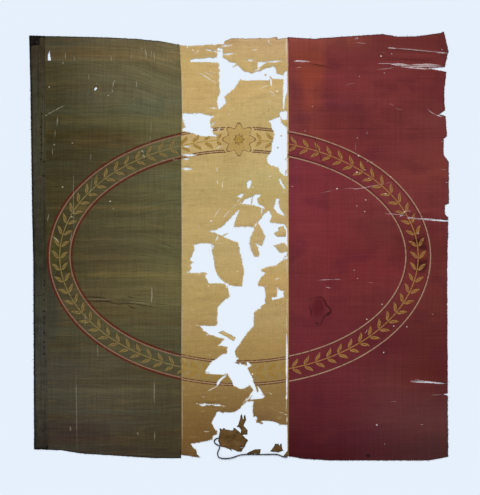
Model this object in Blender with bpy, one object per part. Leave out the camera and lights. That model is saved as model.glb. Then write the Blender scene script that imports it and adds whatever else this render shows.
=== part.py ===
# A worn silk flag of three upright panels, laid open and flat with its face up.
# Metres. X runs from the hoist to the fly, Y from the foot to the head, Z up from the surface.
# The origin lies under the middle of the flag.

import math

import bmesh
import bpy
from mathutils import Vector
from mathutils.geometry import delaunay_2d_cdt

# Driving sizes
SILK = 0.0012  # one layer of cloth
CLEAR = 0.0003  # clearance between two layers
LAP = 0.008  # width of the middle panel that lies under each neighbour
LAP_SHELF = 0.010  # width of a neighbour's edge that stays raised over that lap
LAP_RAMP = 0.012  # width in which it comes back down to the surface
LAP_RISE = SILK + CLEAR
BAND_RISE = SILK + CLEAR  # the hoist band lies on the hoist panel
PATCH_RISE = 2 * (SILK + CLEAR)  # the corner patch lies on the band
PATCH_LENGTH = 0.042  # from head to foot of the corner patch
PATCH_WIDTH = 0.046
HEM_RADIUS = 0.002  # the rolled hem
HEM_STEP = 0.008  # spacing of the points along it
MESH_STEP = 0.060  # spacing of the points inside a panel
EDGE_KEEP = 0.016  # those points stay this far from every edge
CREASE_STEP = 0.035  # spacing of the points along a crease
JOIN = 1e-5  # points nearer than this are one

# Edges that run across, as (x, y) from hoist to fly.
HOIST_HEAD = ((-0.808, 0.810), (-0.508, 0.803), (-0.389, 0.797), (-0.300, 0.788), (-0.229, 0.775))
HOIST_FOOT = (
    (-0.789, -0.783), (-0.681, -0.787), (-0.608, -0.799), (-0.450, -0.809), (-0.323, -0.817),
    (-0.223, -0.817),
)
CENTRE_HEAD = (
    (-0.229, 0.775), (-0.196, 0.769), (-0.123, 0.774), (-0.057, 0.777), (-0.055, 0.787),
    (-0.029, 0.799), (0.119, 0.799), (0.141, 0.805), (0.149, 0.803), (0.146, 0.796), (0.187, 0.802),
)
CENTRE_FOOT = ((-0.223, -0.803), (-0.196, -0.808), (-0.147, -0.815), (0.191, -0.809))
FLY_HEAD = (
    (0.187, 0.804), (0.287, 0.798), (0.416, 0.807), (0.554, 0.816), (0.612, 0.806), (0.681, 0.807),
    (0.776, 0.820), (0.789, 0.826),
)
FLY_FOOT = ((0.192, -0.810), (0.250, -0.820), (0.354, -0.826), (0.732, -0.826), (0.806, -0.812))

# Edges that run down, as (y, x) from head to foot.
HOIST_EDGE = (
    (0.810, -0.808), (0.653, -0.804), (0.458, -0.801), (0.100, -0.796), (-0.060, -0.792),
    (-0.783, -0.789),
)
BAND_INNER = ((0.809, -0.747), (0.400, -0.743), (-0.784, -0.734))
HOIST_SEAM = (
    (0.775, -0.229), (0.666, -0.223), (0.512, -0.219), (0.416, -0.223), (0.023, -0.221),
    (-0.817, -0.223),
)
FLY_SEAM = ((0.804, 0.187), (0.578, 0.191), (0.447, 0.191), (-0.810, 0.192))
FLY_EDGE = (
    (0.826, 0.789), (0.751, 0.807), (0.691, 0.793), (0.670, 0.799), (0.593, 0.790), (0.522, 0.793),
    (0.507, 0.772), (0.500, 0.796), (0.423, 0.801), (0.412, 0.788), (0.352, 0.788), (0.323, 0.808),
    (0.163, 0.808), (0.158, 0.793), (0.123, 0.793), (0.110, 0.806), (-0.100, 0.802), (-0.520, 0.804),
    (-0.568, 0.804), (-0.571, 0.787), (-0.576, 0.804), (-0.812, 0.806),
)

# Holes torn in the middle panel, a row for each section: (y, left x, right x), from head to foot.
CENTRE_HOLES = {
    "head_tear": (
        (0.763, -0.083, -0.064), (0.726, -0.085, -0.062), (0.719, -0.187, -0.046),
        (0.709, -0.187, -0.038), (0.705, -0.079, -0.012), (0.693, -0.079, -0.001),
        (0.673, -0.079, 0.020), (0.665, -0.079, 0.052), (0.643, -0.079, 0.006),
        (0.608, -0.075, -0.016), (0.589, -0.074, -0.038), (0.575, -0.082, -0.056),
        (0.552, -0.085, -0.048), (0.526, -0.080, -0.075),
    ),
    "head_tear_arm": (
        (0.692, 0.126, 0.132), (0.681, 0.096, 0.142), (0.665, 0.050, 0.144), (0.658, 0.015, 0.172),
        (0.643, 0.004, 0.172),
    ),
    "head_nick": ((0.709, 0.073, 0.108), (0.701, 0.073, 0.099), (0.684, 0.073, 0.075)),
    "seam_slit_head": (
        (0.674, 0.178, 0.186), (0.658, 0.171, 0.186), (0.593, 0.169, 0.186), (0.574, 0.169, 0.179),
        (0.527, 0.169, 0.175),
    ),
    "hoist_hole_head": (
        (0.511, -0.218, -0.150), (0.500, -0.218, -0.096), (0.493, -0.218, -0.106),
        (0.477, -0.214, -0.111), (0.458, -0.205, -0.109), (0.452, -0.217, -0.108),
        (0.443, -0.218, -0.105), (0.431, -0.169, -0.099), (0.422, -0.139, -0.083),
    ),
    "seam_hole_head": (
        (0.520, 0.165, 0.184), (0.512, 0.154, 0.186), (0.491, 0.163, 0.186), (0.485, 0.173, 0.185),
    ),
    "fly_tear": (
        (0.498, 0.155, 0.159), (0.481, 0.113, 0.162), (0.467, 0.126, 0.171), (0.456, 0.126, 0.186),
        (0.431, 0.137, 0.186), (0.393, 0.126, 0.186), (0.366, 0.126, 0.186), (0.341, 0.108, 0.186),
        (0.321, 0.110, 0.186), (0.300, 0.152, 0.186), (0.288, 0.155, 0.186), (0.270, 0.172, 0.186),
    ),
    "seam_hole_middle": (
        (0.260, 0.154, 0.160), (0.243, 0.156, 0.166), (0.235, 0.164, 0.173), (0.220, 0.172, 0.178),
    ),
    "small_hole": ((0.254, 0.038, 0.046), (0.243, 0.028, 0.049), (0.221, 0.033, 0.039)),
    "cross_tear": (
        (0.199, 0.065, 0.073), (0.180, 0.022, 0.069), (0.163, 0.010, 0.075), (0.153, 0.069, 0.092),
        (0.145, 0.089, 0.101),
    ),
    "corner_tear": (
        (0.181, 0.142, 0.152), (0.164, 0.139, 0.152), (0.148, 0.135, 0.156), (0.137, 0.144, 0.162),
        (0.119, 0.169, 0.176),
    ),
    "square_left": (
        (0.140, -0.002, 0.002), (0.116, -0.025, -0.007), (0.075, -0.065, -0.021),
        (0.073, -0.067, 0.056), (0.062, -0.089, 0.059), (0.058, -0.121, 0.057), (0.049, -0.087, 0.052),
        (0.031, -0.052, 0.042), (0.013, -0.004, 0.041), (-0.015, 0.003, 0.046), (-0.043, 0.008, 0.059),
    ),
    "square_right": (
        (0.136, 0.112, 0.116), (0.116, 0.089, 0.128), (0.092, 0.073, 0.119), (0.084, 0.076, 0.175),
        (0.065, 0.088, 0.186), (0.038, 0.102, 0.186), (0.016, 0.094, 0.186), (0.002, 0.068, 0.132),
        (-0.012, 0.073, 0.146), (-0.027, 0.078, 0.162), (-0.043, 0.076, 0.177),
    ),
    "seam_gap_middle": ((-0.022, 0.175, 0.186), (-0.027, 0.162, 0.186), (-0.039, 0.173, 0.183)),
    "long_tear_head": (
        (-0.042, 0.008, 0.179), (-0.058, 0.011, 0.164), (-0.075, 0.015, 0.142), (-0.083, 0.016, 0.102),
        (-0.092, 0.018, 0.085), (-0.105, 0.018, 0.102), (-0.126, 0.015, 0.082), (-0.152, 0.011, 0.077),
    ),
    "long_tear": (
        (-0.150, -0.042, 0.076), (-0.158, -0.045, 0.099), (-0.193, -0.035, 0.103),
        (-0.216, -0.065, 0.100), (-0.235, -0.083, 0.085), (-0.258, -0.083, 0.057),
        (-0.305, -0.085, 0.057), (-0.307, -0.150, 0.055), (-0.327, -0.137, 0.040),
        (-0.341, -0.116, 0.027), (-0.358, -0.056, 0.015), (-0.383, -0.081, -0.002),
        (-0.387, -0.045, -0.004), (-0.413, -0.047, -0.012), (-0.416, -0.062, -0.011),
        (-0.448, -0.108, -0.012), (-0.459, -0.116, 0.028), (-0.483, -0.132, 0.039),
        (-0.491, -0.096, 0.043),
    ),
    "long_tear_notch": ((-0.446, 0.031, 0.033), (-0.460, 0.019, 0.050), (-0.470, 0.027, 0.034)),
    "long_tear_foot": (
        (-0.489, -0.046, 0.043), (-0.516, -0.030, 0.055), (-0.535, -0.022, 0.065),
        (-0.537, -0.021, 0.042), (-0.551, 0.005, 0.013),
    ),
    "corner_hole": (
        (-0.533, 0.041, 0.064), (-0.554, 0.055, 0.072), (-0.560, 0.051, 0.080), (-0.581, 0.038, 0.099),
        (-0.590, 0.035, 0.042),
    ),
    "hoist_hole": (
        (0.010, -0.150, -0.102), (0.005, -0.177, -0.105), (-0.012, -0.170, -0.104),
        (-0.053, -0.189, -0.097), (-0.078, -0.187, -0.093), (-0.103, -0.201, -0.087),
        (-0.105, -0.145, -0.085), (-0.122, -0.129, -0.075), (-0.144, -0.114, -0.050),
    ),
    "seam_hole_low": (
        (-0.157, 0.145, 0.148), (-0.169, 0.147, 0.176), (-0.196, 0.146, 0.173), (-0.198, 0.126, 0.173),
        (-0.208, 0.127, 0.133),
    ),
    "seam_slit_low": (
        (-0.335, 0.182, 0.184), (-0.400, 0.181, 0.188), (-0.485, 0.180, 0.187), (-0.512, 0.183, 0.186),
    ),
    "foot_tear": (
        (-0.597, 0.030, 0.056), (-0.628, 0.000, 0.053), (-0.641, -0.087, 0.054),
        (-0.681, -0.105, 0.067), (-0.689, -0.100, 0.186), (-0.723, -0.084, 0.187),
        (-0.734, -0.099, 0.187), (-0.747, -0.101, 0.187), (-0.762, -0.187, 0.187),
        (-0.788, -0.164, 0.187), (-0.800, -0.163, 0.178), (-0.809, -0.154, 0.171),
        (-0.820, -0.143, 0.171),
    ),
}

# Slits, as (x, y) of one end, (x, y) of the other and the width half way.
CENTRE_SLITS = (
    (-0.128, 0.757, -0.080, 0.746, 0.004),
    (-0.064, 0.767, -0.025, 0.774, 0.003),
    (-0.064, 0.737, -0.018, 0.742, 0.004),
    (0.020, 0.715, 0.062, 0.715, 0.005),
    (0.075, 0.707, 0.180, 0.714, 0.005),
    (0.122, 0.650, 0.124, 0.618, 0.006),
    (-0.214, 0.383, -0.188, 0.383, 0.006),
    (-0.214, 0.349, -0.166, 0.350, 0.006),
    (-0.214, 0.334, -0.190, 0.334, 0.005),
    (-0.218, 0.300, -0.176, 0.294, 0.010),
    (-0.012, 0.189, 0.024, 0.204, 0.005),
    (-0.110, 0.461, -0.088, 0.482, 0.004),
    (-0.040, -0.484, -0.084, -0.538, 0.007),
    (-0.151, -0.608, -0.072, -0.612, 0.006),
)
HOIST_HOLES = {
    "nail_tear": ((0.752, -0.730, -0.728), (0.735, -0.736, -0.727), (0.714, -0.735, -0.724)),
    "burn_hole": ((0.611, -0.551, -0.546), (0.606, -0.557, -0.546), (0.599, -0.558, -0.552)),
}
FLY_SLITS = (
    (0.212, 0.711, 0.270, 0.711, 0.004),
    (0.730, 0.684, 0.864, 0.676, 0.018),
    (0.649, 0.108, 0.963, 0.084, 0.006),
    (0.661, -0.522, 0.799, -0.530, 0.008),
)

# Loose scraps, a row for each section as for the holes. A scrap with two tables is one piece of both.
SCRAPS = {
    "scrap_foot": (
        (
            (-0.703, -0.072, -0.038), (-0.708, -0.073, -0.016), (-0.720, -0.075, 0.005),
            (-0.749, -0.080, 0.035), (-0.771, -0.072, 0.023), (-0.792, 0.002, 0.009),
        ),
        (
            (-0.652, 0.007, 0.024), (-0.669, 0.004, 0.026), (-0.692, -0.004, 0.018),
            (-0.710, 0.009, 0.034), (-0.726, 0.004, 0.032),
        ),
    ),
    "scrap_hem": (((-0.783, 0.064, 0.083), (-0.790, 0.045, 0.082), (-0.7998, 0.029, 0.081)),),
    "scrap_corner": (
        (
            (-0.761, 0.142, 0.163), (-0.776, 0.132, 0.166), (-0.788, 0.122, 0.169),
            (-0.793, 0.132, 0.156),
        ),
    ),
    "scrap_middle": (
        (
            (-0.327, -0.065, -0.059), (-0.333, -0.081, -0.050), (-0.352, -0.043, -0.013),
            (-0.365, -0.023, -0.019),
        ),
    ),
    "scrap_seam": (
        (
            (0.0765, 0.166, 0.172), (0.070, 0.150, 0.173), (0.059, 0.154, 0.181), (0.048, 0.135, 0.181),
            (0.036, 0.145, 0.180),
        ),
    ),
}
SCRAP_CUTS = {"scrap_foot": ((0.0155, -0.640, 0.0155, -0.672, 0.008),)}  # the fork of its tip

# Soft ridges, as (x, y) of both ends, height and half the width.
HOIST_CREASES = (
    (-0.610, -0.206, -0.360, -0.204, 0.0030, 0.011),
    (-0.600, -0.230, -0.370, -0.227, 0.0030, 0.011),
    (-0.560, 0.735, -0.262, 0.585, 0.0035, 0.032),
    (-0.520, 0.655, -0.258, 0.505, 0.0030, 0.028),
    (-0.690, -0.500, -0.300, -0.470, 0.0025, 0.030),
)
CENTRE_CREASES = (
    (-0.185, -0.200, -0.100, -0.195, 0.0025, 0.022),
    (0.085, -0.300, 0.150, -0.520, 0.0030, 0.026),
    (0.010, 0.560, 0.130, 0.600, 0.0025, 0.022),
)
FLY_CREASES = (
    (0.560, 0.728, 0.775, 0.722, 0.0050, 0.020),
    (0.240, 0.520, 0.330, 0.300, 0.0030, 0.028),
    (0.620, 0.130, 0.770, 0.128, 0.0030, 0.018),
    (0.300, -0.420, 0.720, -0.455, 0.0025, 0.034),
)

# The rolled hem's route, as (x, y) from the loose scrap round its corner and on to the fly seam.
HEM_ROUTE = (
    (-0.0795, -0.7393), (-0.0880, -0.7420), (-0.0940, -0.7475), (-0.0952, -0.7535), (-0.0920, -0.7595),
    (-0.0855, -0.7640), (-0.0795, -0.7670), (-0.0747, -0.7712), (-0.0745, -0.7765), (-0.0775, -0.7835),
    (-0.0808, -0.7900), (-0.0822, -0.7975), (-0.0815, -0.8060), (-0.0775, -0.8130), (-0.0690, -0.8168),
    (-0.0560, -0.8180), (-0.0360, -0.8170), (-0.0180, -0.8122), (-0.0020, -0.8064), (0.0140, -0.8032),
    (0.0350, -0.8022), (0.0600, -0.8021), (0.0900, -0.8025), (0.1200, -0.8020), (0.1440, -0.8022),
    (0.1560, -0.8050), (0.1660, -0.8098), (0.1760, -0.8120), (0.1870, -0.8117),
)


def clear_scene():
    for old in list(bpy.data.objects):
        bpy.data.objects.remove(old)


def make_material(name, colour, roughness):
    material = bpy.data.materials.new(name)
    material.use_nodes = True
    shader = material.node_tree.nodes["Principled BSDF"]
    shader.inputs["Base Color"].default_value = (*colour, 1.0)
    shader.inputs["Roughness"].default_value = roughness
    shader.inputs["Metallic"].default_value = 0.0
    return material


def edge_x(rows, y):
    """The x at height y of an edge that runs down."""
    for (upper, x0), (lower, x1) in zip(rows, rows[1:]):
        if lower <= y <= upper:
            return x0 + (x1 - x0) * (upper - y) / (upper - lower)
    return rows[0][1] if y > rows[0][0] else rows[-1][1]


def section_outline(rows):
    return [(left, y) for y, left, _ in rows] + [(right, y) for y, _, right in reversed(rows)]


def slit_outline(x0, y0, x1, y1, width):
    """A slit is a slim diamond from one end to the other."""
    length = math.hypot(x1 - x0, y1 - y0)
    across = Vector((y0 - y1, x1 - x0)) * (width / 2 / length)
    middle = Vector(((x0 + x1) / 2, (y0 + y1) / 2))
    return [(x0, y0), tuple(middle - across), (x1, y1), tuple(middle + across)]


def panel_outline(head, foot, hoist_side, fly_side, grow=0.0):
    """Joins four edges into one outline. grow widens it at both sides."""
    inner_hoist = [(x - grow, y) for y, x in reversed(hoist_side[1:-1])]
    inner_fly = [(x + grow, y) for y, x in fly_side[1:-1]]
    head = [(head[0][0] - grow, head[0][1]), *head[1:-1], (head[-1][0] + grow, head[-1][1])]
    foot = [(foot[0][0] - grow, foot[0][1]), *foot[1:-1], (foot[-1][0] + grow, foot[-1][1])]
    return head + inner_fly + foot[::-1] + inner_hoist


def is_inside(outline, x, y):
    inside = False
    for (x0, y0), (x1, y1) in zip(outline, outline[1:] + outline[:1]):
        if (y0 > y) != (y1 > y) and x < x0 + (x1 - x0) * (y - y0) / (y1 - y0):
            inside = not inside
    return inside


def distance_to_segment(x, y, x0, y0, x1, y1):
    """The distance to a segment, and how far along it, from 0 to 1, the nearest point lies."""
    dx, dy = x1 - x0, y1 - y0
    along = max(0.0, min(1.0, ((x - x0) * dx + (y - y0) * dy) / (dx * dx + dy * dy)))
    return math.hypot(x - x0 - along * dx, y - y0 - along * dy), along


def distance_to_outline(x, y, outline):
    pairs = zip(outline, outline[1:] + outline[:1])
    return min(distance_to_segment(x, y, *a, *b)[0] for a, b in pairs)


def crease_height(x, y, creases):
    """Each crease is a rounded ridge that dies away towards both ends."""
    height = 0.0
    for x0, y0, x1, y1, rise, reach in creases:
        distance, along = distance_to_segment(x, y, x0, y0, x1, y1)
        if distance < reach:
            profile = 0.5 + 0.5 * math.cos(math.pi * distance / reach)
            height = max(height, rise * profile * math.sin(math.pi * along))
    return height


def lap_height(distance):
    """The rise of a panel's edge over the panel under it, at a distance in from its seam."""
    return LAP_RISE * max(0.0, min(1.0, (LAP_SHELF + LAP_RAMP - distance) / LAP_RAMP))


def crease_points(creases):
    for x0, y0, x1, y1, _, reach in creases:
        length = math.hypot(x1 - x0, y1 - y0)
        steps = max(2, round(length / CREASE_STEP))
        across = (-(y1 - y0) / length, (x1 - x0) / length)
        for i in range(steps + 1):
            along = i / steps
            for offset in (-reach, -reach / 2, 0.0, reach / 2, reach):
                yield (
                    x0 + (x1 - x0) * along + across[0] * offset,
                    y0 + (y1 - y0) * along + across[1] * offset,
                )


def near_crease(x, y, creases):
    return any(
        distance_to_segment(x, y, x0, y0, x1, y1)[0] < reach + MESH_STEP / 4
        for x0, y0, x1, y1, _, reach in creases
    )


def grid_points(outline):
    low_x, high_x = min(p[0] for p in outline), max(p[0] for p in outline)
    low_y, high_y = min(p[1] for p in outline), max(p[1] for p in outline)
    columns = max(1, round((high_x - low_x) / MESH_STEP))
    rows = max(1, round((high_y - low_y) / MESH_STEP))
    for i in range(1, columns):
        for j in range(1, rows):
            yield low_x + (high_x - low_x) * i / columns, low_y + (high_y - low_y) * j / rows


def triangulate(outlines, holes, creases, lines):
    """Triangles that fill the outlines outside the holes, with points for the relief inside them."""
    points, edges = [], []

    def add_line(line, is_closed):
        first = len(points)
        points.extend(line)
        count = len(line)
        spans = count if is_closed else count - 1
        edges.extend((first + i, first + (i + 1) % count) for i in range(spans))

    for outline in (*outlines, *holes):
        add_line(outline, True)
    for line in lines:
        add_line(line, False)
    borders = [*outlines, *holes]
    for x, y in crease_points(creases):
        if min(distance_to_outline(x, y, border) for border in borders) > EDGE_KEEP / 2:
            points.append((x, y))
    for outline in outlines:
        for x, y in grid_points(outline):
            clear = min(distance_to_outline(x, y, border) for border in borders) > EDGE_KEEP
            if clear and not near_crease(x, y, creases):
                points.append((x, y))
    found = delaunay_2d_cdt([Vector(p) for p in points], edges, [], 0, JOIN)
    vertices, triangles = found[0], found[2]

    def is_cloth(triangle):
        x = sum(vertices[i].x for i in triangle) / 3
        y = sum(vertices[i].y for i in triangle) / 3
        return any(is_inside(o, x, y) for o in outlines) and not any(is_inside(h, x, y) for h in holes)

    return vertices, [t for t in triangles if is_cloth(t)]


def make_cloth(name, material, outlines, holes=(), creases=(), lines=(), lift=None, base=0.0):
    """A sheet of one layer, with its underside at base plus the lift and the creases."""
    vertices, triangles = triangulate(outlines, holes, creases, lines)
    sheet = bmesh.new()
    made = {}
    for triangle in triangles:
        for i in triangle:
            if i not in made:
                x, y = vertices[i]
                raised = lift(x, y) if lift else 0.0
                made[i] = sheet.verts.new((x, y, base + raised + crease_height(x, y, creases)))
        sheet.faces.new([made[i] for i in triangle])
    grown = bmesh.ops.extrude_face_region(sheet, geom=sheet.faces[:])
    top = [part for part in grown["geom"] if isinstance(part, bmesh.types.BMVert)]
    bmesh.ops.translate(sheet, verts=top, vec=(0.0, 0.0, SILK))
    bmesh.ops.recalc_face_normals(sheet, faces=sheet.faces[:])
    mesh = bpy.data.meshes.new(name)
    sheet.to_mesh(mesh)
    sheet.free()
    mesh.materials.append(material)
    cloth = bpy.data.objects.new(name, mesh)
    bpy.context.scene.collection.objects.link(cloth)
    return cloth


def seam_lines(seam, side):
    """The two lines beside a seam where the lapped edge starts to come down and reaches the surface."""
    head, foot = seam[0][0] + EDGE_KEEP, seam[-1][0] - EDGE_KEEP
    steps = round((head - foot) / MESH_STEP)
    heights = [head + (foot - head) * i / steps for i in range(steps + 1)]
    offsets = (LAP_SHELF, LAP_SHELF + LAP_RAMP)
    return [[(edge_x(seam, y) + side * offset, y) for y in heights] for offset in offsets]


def make_hoist_panel():
    make_cloth(
        "hoist_panel",
        make_material("olive silk", (0.085, 0.075, 0.030), 0.75),
        [panel_outline(HOIST_HEAD, HOIST_FOOT, HOIST_EDGE, HOIST_SEAM)],
        holes=[section_outline(rows) for rows in HOIST_HOLES.values()],
        creases=HOIST_CREASES,
        lines=seam_lines(HOIST_SEAM, -1),
        lift=lambda x, y: lap_height(edge_x(HOIST_SEAM, y) - x),
    )


def make_centre_panel():
    holes = [section_outline(rows) for rows in CENTRE_HOLES.values()]
    make_cloth(
        "centre_panel",
        make_material("buff silk", (0.480, 0.330, 0.140), 0.75),
        [panel_outline(CENTRE_HEAD, CENTRE_FOOT, HOIST_SEAM, FLY_SEAM, grow=LAP)],
        holes=holes + [slit_outline(*row) for row in CENTRE_SLITS],
        creases=CENTRE_CREASES,
    )


def make_fly_panel():
    make_cloth(
        "fly_panel",
        make_material("crimson silk", (0.150, 0.026, 0.026), 0.75),
        [panel_outline(FLY_HEAD, FLY_FOOT, FLY_SEAM, FLY_EDGE)],
        holes=[slit_outline(*row) for row in FLY_SLITS],
        creases=FLY_CREASES,
        lines=seam_lines(FLY_SEAM, 1),
        lift=lambda x, y: lap_height(x - edge_x(FLY_SEAM, y)),
    )


def make_hoist_band():
    head = (HOIST_HEAD[0], (BAND_INNER[0][1], BAND_INNER[0][0]))
    foot = (HOIST_FOOT[0], (BAND_INNER[-1][1], BAND_INNER[-1][0]))
    make_cloth(
        "hoist_band",
        make_material("dark olive band", (0.038, 0.035, 0.020), 0.85),
        [panel_outline(head, foot, HOIST_EDGE, BAND_INNER)],
        base=BAND_RISE,
    )


def make_corner_patch():
    corner_x, corner_y = HOIST_HEAD[0]
    left, top = corner_x + 0.002, corner_y - 0.003
    foot = top - PATCH_LENGTH
    right = left + PATCH_WIDTH
    outline = [(left, top), (left, foot), (right, foot + 0.002), (right - 0.001, top)]
    material = make_material("black patch", (0.012, 0.010, 0.010), 0.85)
    make_cloth("corner_patch", material, [outline], base=PATCH_RISE)


def make_scraps():
    buff = make_material("soiled buff silk", (0.200, 0.115, 0.045), 0.75)
    for name, tables in SCRAPS.items():
        cuts = [slit_outline(*row) for row in SCRAP_CUTS.get(name, ())]
        make_cloth(name, buff, [section_outline(rows) for rows in tables], holes=cuts)


def smooth_route(route, step):
    """Points at even steps on the smooth curve that passes through each point of the route."""
    knots = [Vector(point) for point in route]
    knots = [2 * knots[0] - knots[1], *knots, 2 * knots[-1] - knots[-2]]
    fine = []
    for a, b, c, d in zip(knots, knots[1:], knots[2:], knots[3:]):
        for i in range(16):
            t = i / 16
            bend = (2 * a - 5 * b + 4 * c - d) * t**2 + (3 * b - a - 3 * c + d) * t**3
            fine.append((2 * b + (c - a) * t + bend) / 2)
    fine.append(knots[-2])
    travelled = [0.0]
    for start, end in zip(fine, fine[1:]):
        travelled.append(travelled[-1] + (end - start).length)
    count = round(travelled[-1] / step)
    points, k = [], 0
    for i in range(count + 1):
        wanted = travelled[-1] * i / count
        while k < len(fine) - 2 and travelled[k + 1] < wanted:
            k += 1
        share = (wanted - travelled[k]) / (travelled[k + 1] - travelled[k])
        points.append(fine[k].lerp(fine[k + 1], min(1.0, share)))
    return points


def make_hem_cord():
    curve = bpy.data.curves.new("hem_cord", "CURVE")
    curve.dimensions = "3D"
    curve.bevel_depth = HEM_RADIUS
    curve.bevel_resolution = 2
    curve.use_fill_caps = True
    route = smooth_route(HEM_ROUTE, HEM_STEP)
    spline = curve.splines.new("POLY")
    spline.points.add(len(route) - 1)
    for point, place in zip(spline.points, route):
        point.co = (*place, HEM_RADIUS, 1.0)
    curve.materials.append(make_material("rolled hem", (0.030, 0.022, 0.018), 0.85))
    cord = bpy.data.objects.new("hem_cord", curve)
    bpy.context.scene.collection.objects.link(cord)


clear_scene()
make_hoist_panel()
make_centre_panel()
make_fly_panel()
make_hoist_band()
make_corner_patch()
make_scraps()
make_hem_cord()
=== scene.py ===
# A worn silk flag of three upright panels, laid open and flat with its face up.
# Metres: X runs from the hoist to the fly, Y from the foot to the head, Z up from the surface.
# The tables and specs are in millimetres, for metres() and toned() to turn.

import math
import random

import bmesh
import bpy
import numpy as np
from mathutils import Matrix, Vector, kdtree, noise
from mathutils.geometry import delaunay_2d_cdt


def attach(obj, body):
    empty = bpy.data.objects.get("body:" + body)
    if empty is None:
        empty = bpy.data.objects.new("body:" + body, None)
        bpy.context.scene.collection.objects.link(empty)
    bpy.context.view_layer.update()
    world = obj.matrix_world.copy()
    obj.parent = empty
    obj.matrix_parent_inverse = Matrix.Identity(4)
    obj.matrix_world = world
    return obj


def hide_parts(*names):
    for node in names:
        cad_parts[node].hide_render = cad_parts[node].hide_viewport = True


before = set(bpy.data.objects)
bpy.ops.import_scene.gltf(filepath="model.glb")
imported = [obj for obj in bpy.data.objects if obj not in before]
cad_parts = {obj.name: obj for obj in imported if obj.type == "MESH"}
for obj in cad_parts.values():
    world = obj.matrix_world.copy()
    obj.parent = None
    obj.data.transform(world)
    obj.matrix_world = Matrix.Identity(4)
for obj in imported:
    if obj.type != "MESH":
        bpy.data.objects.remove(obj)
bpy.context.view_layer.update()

silkThickness = 0.0008
lapRise = 0.0015  # a side panel lies this much higher over the edge of the middle one
lapShelf = 0.010  # it keeps to that height as far as this past the seam
lapRamp = 0.012  # and comes down within this
hoistSeamX = -0.222
flySeamX = 0.191
toothStep = 0.0034  # spacing of the teeth along a torn edge
weaveStep = (0.0090, 0.0045)  # spacing of the points inside a cloth, along and across its ripples
edgeReach = 0.020  # an edge's tints, painted shade on the olive panel, and its fraying reach this far in
join = 1e-5  # points closer than this are one
heightReach = 0.84  # the colours by height run from this below the middle to this above it

# The painted oval: its middle, its half sizes, the length of a leaf pair and half the width of the
# leaf row. At its crown is a rosette, whose paint ends within its reach.
garland = {"x": 0.0, "y": -0.04, "halfWidth": 0.69, "halfHeight": 0.45, "leaf": 0.046, "half": 0.0318}
rosette = {"centre": (0.0, 0.41), "radius": 0.058, "swell": 0.010, "petals": 8.0, "reach": 0.070}


def metres(value):
    # A number of millimetres, or nested rows of them, in metres
    if isinstance(value, tuple):
        return tuple(metres(part) for part in value)
    return round(value / 1000, 6)


def toned(rows):
    # Rows of a tone and then millimetres
    return [(tone, *metres(tuple(rest))) for tone, *rest in rows]


# Soft ridges, as (x, y) of both ends, height and half the width
hoistRidges = metres((
    (-610, -206, -470, -209, 3, 6), (-490, -211, -300, -230, 3.2, 6), (-700, -186, -370, -206, 2, 7),
    (-450, -236, -380, -252, 2.2, 6), (-560, 735, -262, 585, 3.5, 32), (-520, 655, -258, 505, 3, 28),
    (-690, -500, -300, -470, 2.5, 30), (-735, -193, -600, -196, 1.2, 8), (-700, 300, -450, 255, 1.6, 26),
    (-480, 430, -240, 330, 2, 22), (-420, 130, -236, 70, 1.6, 18), (-330, 15, -230, -35, 2, 12),
))
centreRidges = metres((
    (-185, -200, -100, -195, 2.5, 22), (85, -300, 150, -520, 3, 26), (10, 560, 130, 600, 2.5, 22),
    (-140, -600, -70, -596, 2.4, 10),
))
flyRidges = metres((
    (560, 728, 775, 722, 5, 20), (560, 766, 800, 744, 2.6, 8), (240, 520, 330, 300, 3, 28),
    (620, 130, 770, 128, 3, 18), (640, -515, 790, -528, 2.6, 12), (300, -420, 720, -455, 2.5, 34),
    (250, 708, 380, 684, 2.2, 10), (520, 704, 700, 700, 3, 12),
))
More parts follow.
